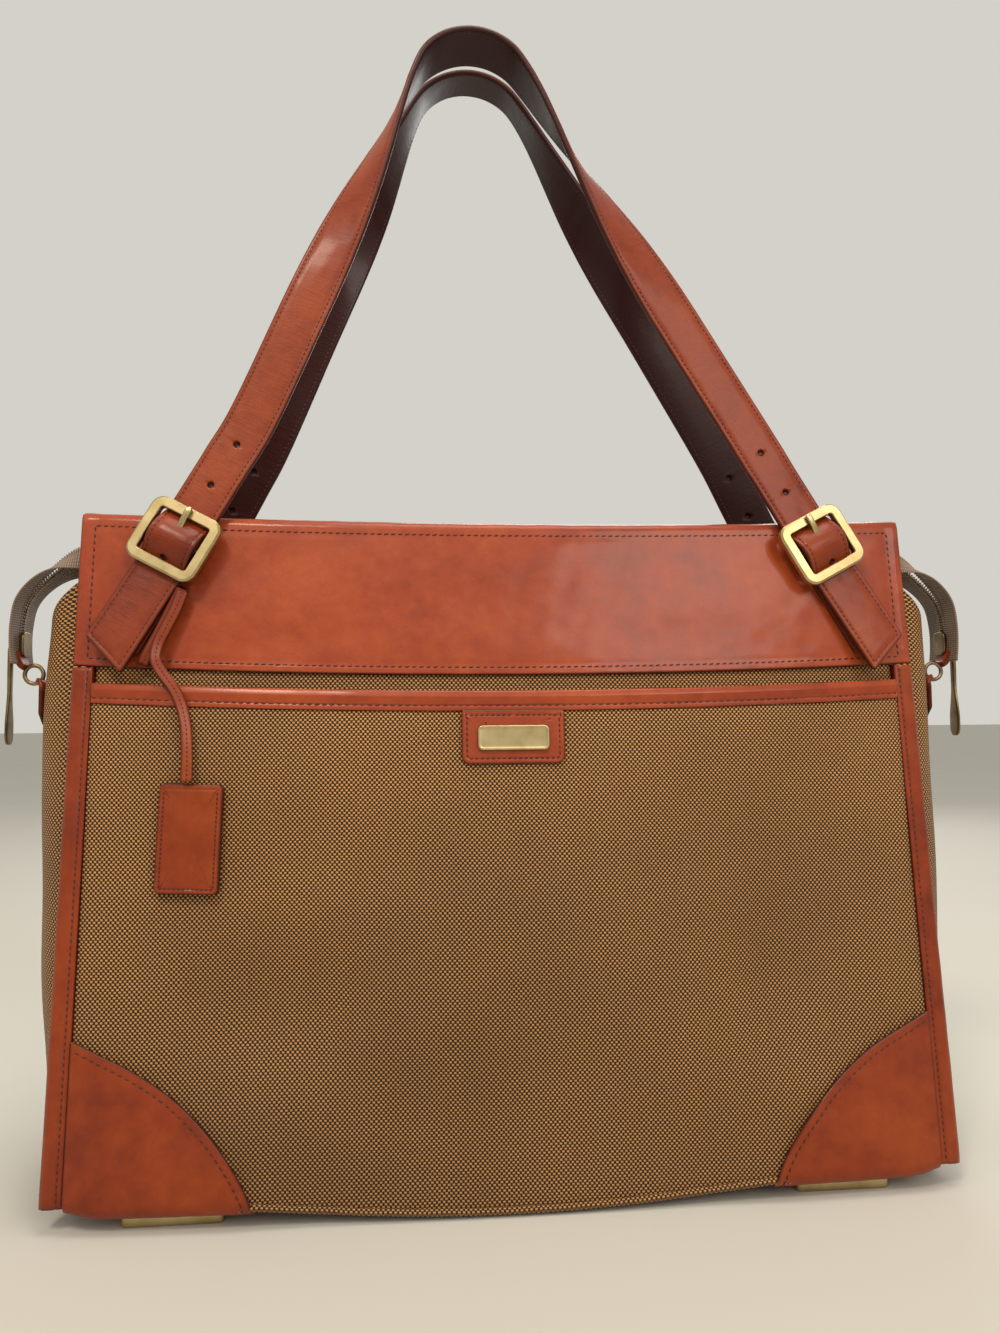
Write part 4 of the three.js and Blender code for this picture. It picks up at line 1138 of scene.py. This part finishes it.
def makeBadge():
    place = frameOn(front, 0.0, badge["z"], lambda x, z: pocketOut(x, z) + 0.7)
    half, low, top = badge["half"], badge["low"], badge["top"]
    outline = outlineOf([(-half, low), (half, low), (half, top), (-half, top)],
                        [badge["corner"], badge["corner"], badge["topCorner"], badge["topCorner"]], 7)
    outline = evenly(np.vstack([outline, outline[:1]]), 1.4)[:-1]
    profile = edgeProfile(badge["thick"], 0.8, groove=badge["inset"])

    def onPatch(x, y, n):
        return inFrame(place, x, y, n + 0.12 * waveNoise(x, y, 22, 81) * (n > 1))

    points, quads = plateOf(outline, profile, onPatch)
    rim, _, under = plateMarks(profile, len(outline), badge["thick"])
    makePiece("badge_leather", points, quads, trimLeather, rim=rim, under=under, stands=("badge_patch",))
    inner = insetOf(outline, badge["inset"])
    sewn = inner[inner[:, 1] < top - 2]
    sewn = sewn[np.argsort(np.arctan2(sewn[:, 0], -sewn[:, 1] + 6))]
    line = inFrame(place, sewn[:, 0], sewn[:, 1], badge["thick"] - 0.12)
    normal = np.broadcast_to(place[1][2], line.shape)
    stitchPiece("badge_stitches", [stitchRow(line, normal, badge["pitch"])], 1.9, 0.65)
    plateLine = boxOutline(badge["plateWide"], badge["plateHigh"], 2.4, 6)
    thick = badge["plateThick"]
    # a raised lip round a slightly lower face
    rings = edgeProfile(thick, 0.35, steps=3)[:-1]
    rings += [(1.0, thick), (1.25, thick - 0.12), (1.6, thick - 0.15)]
    points, quads = plateOf(plateLine, rings, lambda x, y, n: inFrame(place, x, y, n + 2.1))
    makePiece("badge_blank_plate", points, quads, satinBrass, stands=("badge_plate",), sharp=40)


makeBadge()
print("badge made")


# straps, each one length of leather from tip to tip, and the hardware it runs through

strap = {"wide": 25.4, "thick": 3.2, "under": 2.8, "end": 66, "slant": 18, "tipRound": 2.2, "inset": 2.7,
         "hump": 12.6, "pitch": 2.7, "levelZ": 359, "leave": 22,
         "crownX": -16, "crownY": 15.2, "crownZ": 561.5, "crownRadius": 33,
         "hole": 1.7, "holes": (-9.6, 33.5, 58.5), "foldLow": 0.333, "foldHigh": 0.357}
buckle = {"x": 165, "z": 316, "lean": 28.5, "wide": 38, "tall": 35,
          "bar": 4.4, "face": 5.3, "outer": 6.5, "inner": 1.4,
          "recess": 5.6, "barRadius": 1.8, "back": 6.3}
buckleFrames = {}
for sideName, side in sides:
    for handName, hand in hands:
        buckleFrames[sideName + "_" + handName] = frameOn(
            side, hand * buckle["x"], buckle["z"], lambda x, z: bag["gap"] + bag["leather"], buckle["lean"])


def strapBack(v):
    # height of the strap's back: held down by the outer bars, up over the centre bar, loose at its tip
    inside = strap["hump"]
    over = np.cos(math.pi * np.clip(v / inside, -1, 1) / 2) ** 1.1
    return strap["under"] + 7 * over + 0.06 * np.maximum(-v - buckle["tall"] / 2, 0)


def levelOf(place):
    # how far up the strap its middle reaches the level where the handle begins
    origin, axes = place
    rest = strap["under"] + strap["thick"] / 2
    return (strap["levelZ"] - origin[2] - rest * axes[2][2]) / axes[1][2]


def handleLine(side, leftPlace, rightPlace):
    # up from one buckle along its lean, round the crown's circle and down to the other
    rest = strap["under"] + strap["thick"] / 2
    ends = [[inFrame(place, 0, levelOf(place) + more, rest) for more in (0, strap["leave"])]
            for place in (leftPlace, rightPlace)]
    middle = np.array([strap["crownX"], side * strap["crownY"], strap["crownZ"]])
    radius = strap["crownRadius"]
    touch = []
    for hand, (_, start) in zip((left, right), ends):
        dx, dz = start[0] - middle[0], start[2] - middle[2]
        touch.append(math.atan2(dz, dx) + hand * math.acos(radius / math.hypot(dx, dz)))
    first = touch[0] + (2 * math.pi if touch[0] < 0 else 0)
    angles = np.linspace(first, touch[1], 7)
    arc = middle + radius * pointsOf(np.cos(angles), 0, np.sin(angles))
    rise = [ends[0][1] + (arc[0] - ends[0][1]) * t for t in (0.35, 0.7)]
    fall = [ends[1][1] + (arc[-1] - ends[1][1]) * t for t in (0.7, 0.35)]
    return smoothPath([*ends[0], *rise, *arc, *fall, *ends[1][::-1]], 1.5)


def strapPath(sideName, side):
    # the strap's middle line, its grain direction and its width direction from tip to tip
    places = [buckleFrames[sideName + "_left"], buckleFrames[sideName + "_right"]]
    tails, faces = [], []
    for place in places:
        v = np.arange(-strap["end"] - 8, levelOf(place) - 0.5, 0.5)
        tails.append(inFrame(place, 0 * v, v, strapBack(v) + strap["thick"] / 2))
        faces.append(np.broadcast_to(place[1][2], tails[-1].shape))
    middle = handleLine(side, *places)
    tangent = tangentsOf(middle)
    share = np.linspace(0, 1, len(middle))
    flat = unit(places[0][1][2] * [0, 1, 1])
    turn = (math.pi / 2 * (1 - smoothStep(np.abs(share - 0.5) * 2, 0.06, 0.66)))[:, None]
    normal = unit(flat - tangent * (tangent @ flat)[:, None])
    sideways = np.cross(tangent, normal) * -side
    twist = normal * np.cos(turn) - sideways * np.sin(turn)
    line = np.vstack([tails[0], middle, tails[1][::-1]])
    face = np.vstack([faces[0], twist, faces[1][::-1]])
    arc = np.concatenate([[0], np.cumsum(np.linalg.norm(np.diff(line, axis=0), axis=1))])
    # the face turns gradually where the tail meets the handle
    even = np.arange(0, arc[-1], 0.5)
    line, face = (np.stack([np.interp(even, arc, table[:, k]) for k in range(3)], 1)
                  for table in (line, face))
    window = np.hanning(41) / np.hanning(41).sum()
    padded = np.pad(face, ((20, 20), (0, 0)), mode="edge")
    face = np.stack([np.convolve(padded[:, k], window, mode="valid") for k in range(3)], 1)
    tangent = tangentsOf(line)
    face = unit(face - tangent * np.sum(tangent * face, 1, keepdims=True))
    return even, line, face, np.cross(tangent, face)


def tailArc(sideName):
    # how far from the start of the path each place up the buckle's frame lies
    place = buckleFrames[sideName + "_left"]
    v = np.arange(-strap["end"] - 8, levelOf(place) + 40, 0.1)
    n = strapBack(v)
    arc = np.concatenate([[0], np.cumsum(np.hypot(np.diff(v), np.diff(n)))])
    return lambda at: float(np.interp(at, v, arc))


def makeStrap(sideName, side):
    even, line, face, across = strapPath(sideName, side)
    arcOf = tailArc(sideName)
    start = arcOf(-strap["end"])
    total = even[-1] - 2 * start
    slant = math.tan(math.radians(strap["slant"]))
    holes = [arcOf(v) - start for v in strap["holes"]]
    holes = holes + [total - h for h in holes]

    def shape(t, s):
        # both tips are cut on a slant, so near them the line is read further along on one side
        shear = side * slant * (1 - smoothStep(t, 0, 26)) - side * slant * (1 - smoothStep(total - t, 0, 26))
        at = t + start + s * shear
        centre, widthWay = (np.stack([np.interp(at, even, table[:, k]) for k in range(3)], -1)
                            for table in (line, across))
        return centre + widthWay * s[..., None]

    def halfWidth(t):
        near = np.clip(strap["tipRound"] - np.minimum(t, total - t), 0, strap["tipRound"])
        return strap["wide"] / 2 - (strap["tipRound"] - np.sqrt(strap["tipRound"] ** 2 - near ** 2))

    near = np.array([-3, -2.4, -1.9, -1.5, -1.1, -0.5, 0, 0.5, 1.1, 1.5, 1.9, 2.4, 3])
    bumps = np.arange(arcOf(-20) - start, arcOf(18) - start, 1.2)
    rows = spacedLines(total, 2.6, extra=np.concatenate([near + h for h in holes] + [bumps, total - bumps]))
    k = spacedLines(strap["wide"], 2.4, borders=(0, 0.12, 0.35, 0.7, 1.2, 1.9, 2.35, 2.7, 3.05, 3.5),
                    extra=near[2:-2] + strap["wide"] / 2) / strap["wide"] * 2 - 1
    t, k = np.meshgrid(rows, k, indexing="ij")
    s = k * halfWidth(t)
    edge = np.minimum(halfWidth(t) - np.abs(s), np.minimum(t, total - t) * 0.95)
    relief = seamGroove(edge, strap["inset"], 0.3, 0.45) + 0.35 * (1 - (s / 12.7) ** 2)
    relief = relief + 0.07 * waveNoise(t, s, 13, 91) + 0.05 * waveNoise(t * 1.8, s * 0.5, 6, 92)
    pit = np.zeros_like(t)
    for h in holes:
        pit = np.maximum(pit, 1 - smoothStep(np.hypot(t - h, s), strap["hole"] - 0.35, strap["hole"] + 0.25))
    normal = np.cross(unit(np.gradient(shape(t, s), axis=0)), unit(np.gradient(shape(t, s), axis=1)))
    normal = unit(normal)
    at = np.clip(t + start, even[0], even[-1])
    like = np.stack([np.interp(at, even, face[:, j]) for j in range(3)], -1)
    normal = normal * np.sign(np.sum(normal * like, -1, keepdims=True))
    middle = shape(t, s)
    half = strap["thick"] / 2 * rounded(edge, 1.1) * (1 - 0.9 * pit)
    lift = half + relief * np.clip(edge, 0, 1) * (1 - pit)
    points, quads = sheetOf(middle + normal * lift[..., None], middle - normal * half[..., None])
    # painted shade: the pits take the dark flesh colour and the darkest edge colour, for the depth of a
    # punched hole, together with its raw cut wall
    pitsPaintedDark = pit.ravel() > 0.5
    rim = np.where(pitsPaintedDark, 0.0, edge.ravel())
    under = np.concatenate([np.where(pitsPaintedDark, 1.0, 0.0), np.ones(t.size)])
    uv = np.concatenate([np.stack([t, s], -1).reshape(-1, 2)] * 2)
    hinge = [j for j in frame["joints"] if j["name"] == sideName + "_handle_fold"][0]["pos_m"]
    bend = ("root", sideName + "_handle", (0, hinge[1], strap["foldLow"]), (0, hinge[1], strap["foldHigh"]))
    stands = (sideName + "_handle", sideName + "_left_strap_end", sideName + "_right_strap_end")
    makePiece(sideName + "_strap", points, quads, strapLeather, body=bend, uv=uv,
             rim=np.concatenate([rim, rim]), under=under,
              stands=stands)
    # one seam runs right round the strap, a little inside its edge, through both layers
    inset = strap["inset"]
    reach = strap["wide"] / 2 - inset
    long = np.arange(inset, total - inset, 1.5)
    short = np.linspace(-reach, reach, 14)
    loop = np.concatenate([
        np.stack([long, 0 * long - reach], 1), np.stack([0 * short + total - inset, short], 1),
        np.stack([long[::-1], 0 * long + reach], 1), np.stack([0 * short + inset, short[::-1]], 1)])
    normal = surfaceNormals(shape, loop, even, face, start)
    middle = shape(loop[:, 0], loop[:, 1])
    rows = [stitchRow(middle + normal * (strap["thick"] / 2 - 0.1), normal, strap["pitch"], closed=True),
            stitchRow(middle - normal * (strap["thick"] / 2 - 0.12), -normal, strap["pitch"], closed=True)]
    stitchPiece(sideName + "_strap_stitches", rows, 1.85, 0.85, 0.55, body=bend)


def surfaceNormals(shape, loop, even, face, start):
    # normals of the strap's surface at places on its seam, on the grain side
    t, s = loop[:, 0], loop[:, 1]
    normal = slopeNormal(shape, t, s, 0.2)
    like = np.stack([np.interp(t + start, even, face[:, j]) for j in range(3)], -1)
    return normal * np.sign(np.sum(normal * like, -1, keepdims=True))


def roundBar(start, end, radius, around=20):
    # a straight rod with softly rounded ends
    start, end = np.array(start, float), np.array(end, float)
    axis = unit(end - start)
    sideA = unit(np.cross(axis, [0.3, 0.5, 0.8]))
    sideB = np.cross(axis, sideA)
    turn = fullTurn(around)[:, None]
    ends = [(0.0, 0.75), (0.15, 0.93), (0.4, 1.0)]
    length = np.linalg.norm(end - start)
    stations = ends + [(length - a, b) for a, b in ends[::-1]]
    rings = np.array([start + axis * at + radius * size * (np.cos(turn) * sideA + np.sin(turn) * sideB)
                      for at, size in stations])
    return tubeOf(rings)


def makeBuckle(name):
    # a square frame with a flat face: the section between its outer and inner outline is carried round
    place = buckleFrames[name]
    outer = boxOutline(buckle["wide"], buckle["tall"], buckle["outer"], 10)
    wide = buckle["face"]
    inner = boxOutline(buckle["wide"] - 2 * wide, buckle["tall"] - 2 * wide, buckle["inner"], 10)
    low, high = buckle["back"], buckle["back"] + buckle["bar"]
    section = [(0, low + 0.6), (0, high - 1.0), (1.0, high), (wide - 0.4, high), (wide, high - 0.4),
               (wide, low + 0.4), (wide - 0.4, low), (0.6, low)]
    rings = []
    for inset, height in section:
        flat = outer + (inner - outer) * inset / wide
        rings.append(inFrame(place, flat[:, 0], flat[:, 1], height))
    rings = np.array(rings + rings[:1])
    ringQuads = gridQuads(len(rings), len(outer), closed=True)
    ends = (inFrame(place, s, 0.0, buckle["recess"]).tolist() for s in (-16.6, 16.6))
    bar = roundBar(*ends, buckle["barRadius"])
    points, quads = joined((rings.reshape(-1, 3), ringQuads), bar)
    makePiece(name + "_buckle_frame", points, quads, satinBrass, stands=(name + "_buckle",), sharp=28)


def makeTongue(name):
    # a flat prong: an open eye round the centre bar, up through the strap's hole and over the top bar
    place = buckleFrames[name]
    centre = buckle["recess"]
    turn = np.radians(np.linspace(-35, -265, 14))
    eye = np.stack([2.75 * np.cos(turn), centre + 2.75 * np.sin(turn)], 1)
    stem = np.array([(3.2, 9.3), (7.0, 10.6), (11.0, 11.75), (14.5, 12.25), (17.2, 12.15)])
    path = smoothPath(np.column_stack([np.zeros(19), np.vstack([eye, stem])]), 0.5)
    tangent = tangentsOf(path)
    outward = np.cross([1.0, 0, 0], tangent)
    outline = boxOutline(3.2, 1.9, 0.7, 3)
    size = np.ones(len(path))
    size[-4:] = (0.97, 0.9, 0.78, 0.55)
    rings = (path[:, None] + size[:, None, None] * (outline[:, :1] * np.array([1.0, 0, 0])
             + outline[:, 1:] * outward[:, None]))
    rings = inFrame(place, rings[..., 0], rings[..., 1], rings[..., 2])
    points, quads = tubeOf(rings)
    makePiece(name + "_prong", points, quads, satinBrass, body=name + "_tongue",
              stands=(name + "_tongue",), sharp=50)


def makeChape(name, side):
    # the short strap that holds the buckle: flat on the band below, looped round the centre bar
    place = buckleFrames[name]
    centre = buckle["recess"]
    turn = np.radians(np.linspace(-112, -430, 22))
    eye = np.stack([3.0 * np.cos(turn), centre + 3.0 * np.sin(turn)], 1)
    plate = np.array([(-58, 1.45), (-30, 1.45), (-12, 1.45), (-5, 1.6)])
    line = np.column_stack([np.zeros(26), np.vstack([plate, eye])])
    line = smoothPath(line, 0.8)
    arc = np.arange(len(line)) * np.linalg.norm(line[1] - line[0])

    def shape(t, s):
        v, n = (np.interp(t, arc, line[:, k]) for k in (1, 2))
        return inFrame(place, s, v, n)

    t, s = np.meshgrid(spacedLines(arc[-1], 1.2), spacedLines(25.0, 3) - 12.5, indexing="ij")
    edge = np.minimum(12.5 - np.abs(s), np.minimum(t, arc[-1] - t))
    normal = slopeNormal(shape, t, s)
    low = normal[2, normal.shape[1] // 2]
    normal = normal * np.sign(low @ place[1][2])
    half = (0.85 * rounded(edge, 0.7))[..., None]
    points, quads = sheetOf(shape(t, s) + normal * half, shape(t, s) - normal * half)
    makePiece(name + "_chape_leather", points, quads, strapLeather, uv=bothSides(t, s),
              rim=np.tile(edge.ravel(), 2), stands=(name + "_chape",))


for sideName, side in sides:
    makeStrap(sideName, side)
    for handName, hand in hands:
        name = sideName + "_" + handName
        makeBuckle(name)
        makeTongue(name)
        makeChape(name, side)
print("straps and buckles made")


# zip over the mouth: two tapes, and at each end a slider, its pull, a ring and a leather tab

zipper = {"z": 311, "wide": 14, "thick": 1.0,
          "sliderX": 250.7, "sliderZ": 268, "ringX": 244.1, "ringZ": 252.4,
          "ring": 4.7, "wire": 1.1, "teeth": 1.6, "tabZ": 246, "pull": 50,
          "tail": [(199, 14.8, 311), (212, 12.6, 312.3), (227, 10.6, 309.5),
                   (239.5, 9.4, 301.5), (248.2, 8.2, 290.5),
                   (250.9, 7.6, 278), (251.1, 7.4, 266), (250.3, 7.4, 257.5)],
          # leather that closes the tape's end, down to the ring, and the tab's fold up to it
          "wrap": [(250.9, 264), (250.5, 260), (249.5, 257.2), (248, 256)],
          "wrapWide": (15.6, 15.2, 11.5, 8.4),
          "fold": [(238.3, 243), (238.9, 246.5), (240.1, 248.8), (241.6, 249.4)],
          "foldWide": (13, 12.2, 10.4, 8.4)}


def zipTape(sideName, side):
    x = np.linspace(0, 186, 6)
    mouth = onFace(side, x, zipper["z"], -7.6)
    tail = np.array(zipper["tail"]) * [1, side, 1]
    half = np.vstack([mouth, tail])
    line = smoothPath(np.vstack([half[:0:-1] * [-1, 1, 1], half]), 1.0)
    tangent = tangentsOf(line)
    turn = smoothStep(np.abs(line[:, 0]), 196, zipper["sliderX"])
    wide = pointsOf(0 * turn, -side * turn, 1 - turn)
    wide = unit(wide - tangent * np.sum(tangent * wide, 1, keepdims=True))
    face = np.cross(tangent, wide)
    arc = np.arange(len(line)) * np.linalg.norm(line[1] - line[0])
    # the tape is loose at the mouth: it waves in and out by a millimetre
    loose = 0.8 * waveNoise(arc, 0 * arc, 70, 101 + side)[:, None] * (1 - turn[:, None])
    w = np.array([0, 0.3, 0.8, 2, 4, 6, 8, 10, 11, 11.6, 12.4, 13.2, 13.7, 14]) - zipper["wide"] / 2
    edge = np.minimum(w + zipper["wide"] / 2, zipper["wide"] / 2 - w)
    half = zipper["thick"] / 2 * rounded(edge, 0.5) + 0.25 * (w > 4.2) * rounded(edge, 0.8)
    middle = line[:, None] + w[:, None] * wide[:, None] + (loose * face)[:, None]
    outer = middle + half[:, None] * face[:, None]
    inner = middle - half[:, None] * face[:, None]
    points, quads = sheetOf(outer, inner)
    uv = bothSides(*np.broadcast_arrays(arc[:, None], w))
    makePiece(sideName + "_zip_strip", points, quads, zipCloth, uv=uv, stands=(sideName + "_zip_tape",))
    # the coil of teeth is sewn along the free edge on the outer face
    rows = [stitchRow(line + wide * 6.6 + loose * face + face * lift, np.sign(lift) * face, zipper["teeth"])
            for lift in (0.75, -0.75)]
    turned = [(place, np.cross(normal, direction), normal) for place, direction, normal in rows]
    stitchPiece(sideName + "_zip_teeth", turned, 2.4, 0.95, 0.9, slant=14, finish=agedBronze)


def leatherBlock(name, hand, way, widths, thick):
    # a flat rounded section carried down a short path in the plane y = 0, its width changing on the way
    line = np.array([(hand * x, 0, z) for x, z in way], float)
    share = np.linspace(0, 1, len(line))
    path = smoothPath(line, 0.6)
    wide = np.interp(np.linspace(0, 1, len(path)), share, widths)
    tangent = tangentsOf(path)
    out = np.cross(tangent, [0, 1.0, 0])
    turn = fullTurn(28)
    u = squarer(np.cos(turn), 0.35) / 2
    v = squarer(np.sin(turn), 0.6) * thick / 2
    rings = (path[:, None] + (wide[:, None] * u)[..., None] * np.array([0, 1.0, 0])
             + v[None, :, None] * out[:, None])
    points, quads = tubeOf(rings)
    rim = np.broadcast_to(0.7 + 3 * (1 - 2 * np.abs(u)), (len(path) + 2, 28))
    makePiece(name, points, quads, strapLeather, rim=rim)


def acrossPlace(x, y, z):
    # outlines drawn in y and z, thickness along x about the middle
    return lambda u, v, n: pointsOf(x + n, y + u, z + v)


def zipEnd(handName, hand):
    x = hand * zipper["sliderX"]
    # slider body: two rounded plates with a waist between them, and a low bridge on the outer one
    outline = boxOutline(11, 13, 3.5, 6)
    waist = [(1.4, 2.15), (1.4, 3.85)]
    turn = np.linspace(0, math.pi / 2, 4)
    first = [(0.5 * (1 - math.sin(a)), 0.5 * (1 - math.cos(a))) for a in turn] + [(0, 1.7), (0.4, 2.1)]
    last = [(0.4, 3.9), (0, 4.3)] + [(0.5 * (1 - math.cos(a)), 5.5 + 0.5 * math.sin(a)) for a in turn]
    place = acrossPlace(x - 3, 0, zipper["sliderZ"])
    body = plateOf(outline, [(1.0, 0.0)] + first + waist + last + [(0.9, 6.0)], place)
    bridge = smoothPath([(x + hand * 2.6, 0, zipper["sliderZ"] + 4),
                         (x + hand * 4.6, 0, zipper["sliderZ"] + 2.4),
                         (x + hand * 4.9, 0, zipper["sliderZ"] - 1),
                         (x + hand * 4.4, 0, zipper["sliderZ"] - 4),
                         (x + hand * 2.6, 0, zipper["sliderZ"] - 5)], 0.5)
    tangent = tangentsOf(bridge)
    out = np.cross(tangent, [0, 1.0, 0])
    section = boxOutline(2.4, 1.1, 0.45, 3)
    rings = bridge[:, None] + section[:, :1] * np.array([0, 1.0, 0]) + section[:, 1:] * out[:, None]
    points, quads = joined(body, tubeOf(rings))
    makePiece(handName + "_slider_body", points, quads, agedBronze,
              stands=(handName + "_zip_slider",), sharp=45)
    # pull: a slim stem that swells to a spoon-shaped end
    length = zipper["pull"]
    z = np.concatenate([np.linspace(1.6, -length + 1.2, 60)])
    half = 1.9 + 2.7 * smoothStep(-z, 20, 40)
    cap = np.clip((z + length - 6) / 5.2, -1, 0)
    half = half * np.sqrt(np.clip(1 - cap ** 2, 0.02, 1))
    half = half * np.sqrt(np.clip(1 - np.clip((z - 0.2) / 1.5, 0, 0.95) ** 2, 0, 1))
    thick = 1.1 - 0.25 * smoothStep(-z, 8, 30)
    around = fullTurn(28)
    across = squarer(np.cos(around), 0.6)
    deep = squarer(np.sin(around), 0.6)
    rings = pointsOf(x + hand * 5.4 + thick[:, None] * deep, half[:, None] * across,
                     np.broadcast_to(z[:, None] + zipper["sliderZ"] - 3, (len(z), 28)))
    points, quads = tubeOf(rings)
    makePiece(handName + "_pull_blade", points, quads, agedBronze, body=handName + "_pull",
              stands=(handName + "_zip_pull",), sharp=50)
    leatherBlock(handName + "_zip_end_leather", hand, zipper["wrap"], zipper["wrapWide"], 3.4)
    leatherBlock(handName + "_tab_fold", hand, zipper["fold"], zipper["foldWide"], 2.6)
    # ring between slider and tab
    turn = fullTurn(48)[:, None]
    around = fullTurn(14)
    reach = zipper["ring"] + zipper["wire"] * np.cos(around)
    rings = pointsOf(hand * zipper["ringX"] + reach * np.cos(turn),
                     zipper["wire"] * np.sin(around) + 0 * turn,
                     zipper["ringZ"] + reach * np.sin(turn))
    index = np.arange(48 * 14).reshape(48, 14)
    index = np.vstack([index, index[:1]])
    index = np.hstack([index, index[:, :1]])
    quads = np.stack([index[:-1, :-1], index[1:, :-1], index[1:, 1:], index[:-1, 1:]], -1).reshape(-1, 4)
    makePiece(handName + "_ring_wire", rings, quads, agedBronze, stands=(handName + "_zip_ring",))
    # leather tab sewn to the end panel, pointed below
    tabX = hand * (gussetX(0, zipper["tabZ"]) + 1.6)
    outline = outlineOf([(-7, -0.2), (7, -0.2), (7, -14), (0, -21), (-7, -14)], [1.2, 1.2, 2, 2, 2], 4)
    outline = evenly(np.vstack([outline, outline[:1]]), 1.2)[:-1]
    profile = edgeProfile(1.8, 0.7, groove=2.0)
    place = acrossPlace(tabX - 0.9, 0, zipper["tabZ"])
    if hand == left:
        place = lambda u, v, n: pointsOf(tabX + 0.9 - n, u, zipper["tabZ"] + v)
    points, quads = plateOf(outline, profile, place)
    rim, _, _ = plateMarks(profile, len(outline), 1.8)
    makePiece(handName + "_tab_leather", points, quads, strapLeather, rim=rim,
              stands=(handName + "_side_tab",))
    inner = insetOf(outline, 2.0)
    line = pointsOf(tabX + hand * 0.8, inner[:, 0], zipper["tabZ"] + inner[:, 1])
    normal = np.broadcast_to([float(hand), 0, 0], line.shape)
    stitchPiece(handName + "_tab_stitches", [stitchRow(line, normal, 2.2, closed=True)], 1.5, 0.6)


for sideName, side in sides:
    zipTape(sideName, side)
for handName, hand in hands:
    zipEnd(handName, hand)
print("zip made")


# lining and base board

liner = {"floorZ": 13.9, "topZ": 296, "skin": 2.8, "half": 197}


def makeLining():
    # a loose twill bag inside the shell: rings of the shell's own section drawn in, with slack folds
    u = np.linspace(-1, 1, 70)
    v = np.linspace(-0.9, 0.9, 30)
    around = np.concatenate([np.stack([u, 0 * u - 1], 1), np.stack([0 * v + 1, v], 1),
                             np.stack([u[::-1], 0 * u + 1], 1), np.stack([0 * v - 1, v[::-1]], 1)])
    across, deep = around[:, 0], around[:, 1]
    flank = np.abs(deep) < 1

    def ring(share, inward):
        topZ = np.where(flank, gussetTop(deep) - 5, liner["topZ"])
        z = liner["floorZ"] + (topZ - liner["floorZ"]) * share + (inward if share == 0 else 0)
        tight = 0.88 + 0.12 * smoothStep(share, 0, 0.12)
        skin = liner["skin"] + inward + np.where(flank, 2.0, 2.0)
        folds = 1.6 * (1 + waveNoise(across * 200 + deep * 90, z, 90, 111)) * smoothStep(share, 0.02, 0.3)
        endX = np.sign(across) * tight * (gussetX(deep, z) - skin - folds)
        x = across * liner["half"] * tight
        wall = onFace(front, x, z, softBody(x, z, front) - skin - folds)
        wallBack = onFace(back, x, z, softBody(x, z, back) - skin - folds)
        y = np.where(deep < 0, wall[:, 1], wallBack[:, 1]) * (0.93 + 0.07 * smoothStep(share, 0, 0.12))
        flat = pointsOf(endX, deep * gussetHalf(z) * tight * 0.97, z)
        return np.where(flank[:, None], flat, pointsOf(wall[:, 0], y, z))

    shares = np.concatenate([[0, 0.01, 0.025, 0.05], np.linspace(0.08, 1, 40)])
    outside = [ring(share, 0) for share in shares]
    inside = [ring(share, 1) for share in shares[::-1]]
    rings = np.array(outside + inside)
    floorIn = [rings[-1] * [k, k, 1] for k in (0.8, 0.6, 0.4, 0.2)]
    floorOut = [rings[0] * [k, k, 1] for k in (0.2, 0.4, 0.6, 0.8)]
    rings = np.array(floorOut + list(rings) + floorIn)
    points, quads = tubeOf(rings)
    girth = np.concatenate([[0], np.cumsum(np.linalg.norm(np.diff(rings[30], axis=0), axis=1))])
    down = np.arange(len(rings) + 2) * 7.0
    uv = np.stack(np.broadcast_arrays(girth[None], down[:, None]), -1)
    makePiece("lining_bag", points, quads, liningTwill, uv=uv, stands=("lining",))


makeLining()
frame["nodes"]["base_board"].data.materials.clear()
frame["nodes"]["base_board"].data.materials.append(fibreBoard)
print("lining made")


# studio

def areaLight(name, place, aim, size, power, color):
    data = bpy.data.lights.new(name, "AREA")
    data.shape = "DISK"
    data.size = size
    data.energy = power
    data.color = hexColor(color)[:3]
    lamp = bpy.data.objects.new(name, data)
    lamp.location = place
    lamp.rotation_euler = (Vector(aim) - Vector(place)).to_track_quat("-Z", "Y").to_euler()
    bpy.context.scene.collection.objects.link(lamp)


studio = {"world": "#e9e7de", "strength": 0.8, "floorHalf": 60.0}


def makeStudio():
    # a key from the upper left, a weak fill, a wide lamp above and one behind for the far side
    areaLight("key", (-0.6, -1.2, 1.75), (0, 0, 0.3), 0.45, 18, "#fff1e0")
    areaLight("fill", (0.6, -1.3, 0.98), (0, 0, 0.28), 0.7, 7.5, "#fff6ea")
    areaLight("top", (0.15, -0.25, 1.9), (0, 0, 0.3), 0.9, 12, "#fff8ec")
    areaLight("rear", (0.5, 1.7, 1.2), (0, 0, 0.3), 1.2, 12, "#ffffff")
    world = bpy.data.worlds.new("studio")
    world.use_nodes = True
    world.node_tree.nodes["Background"].inputs[0].default_value = hexColor(studio["world"])
    world.node_tree.nodes["Background"].inputs[1].default_value = studio["strength"]
    bpy.context.scene.world = world
    bpy.context.scene.view_settings.view_transform = "Standard"
    half = studio["floorHalf"]
    mesh = bpy.data.meshes.new("floor")
    corners = [(-half, -half, 0), (half, -half, 0), (half, half, 0), (-half, half, 0)]
    mesh.from_pydata(corners, [], [(0, 1, 2, 3)])
    floor = bpy.data.objects.new("floor", mesh)
    bpy.context.scene.collection.objects.link(floor)
    mesh.materials.append(palePaint)


makeStudio()
print("studio made")
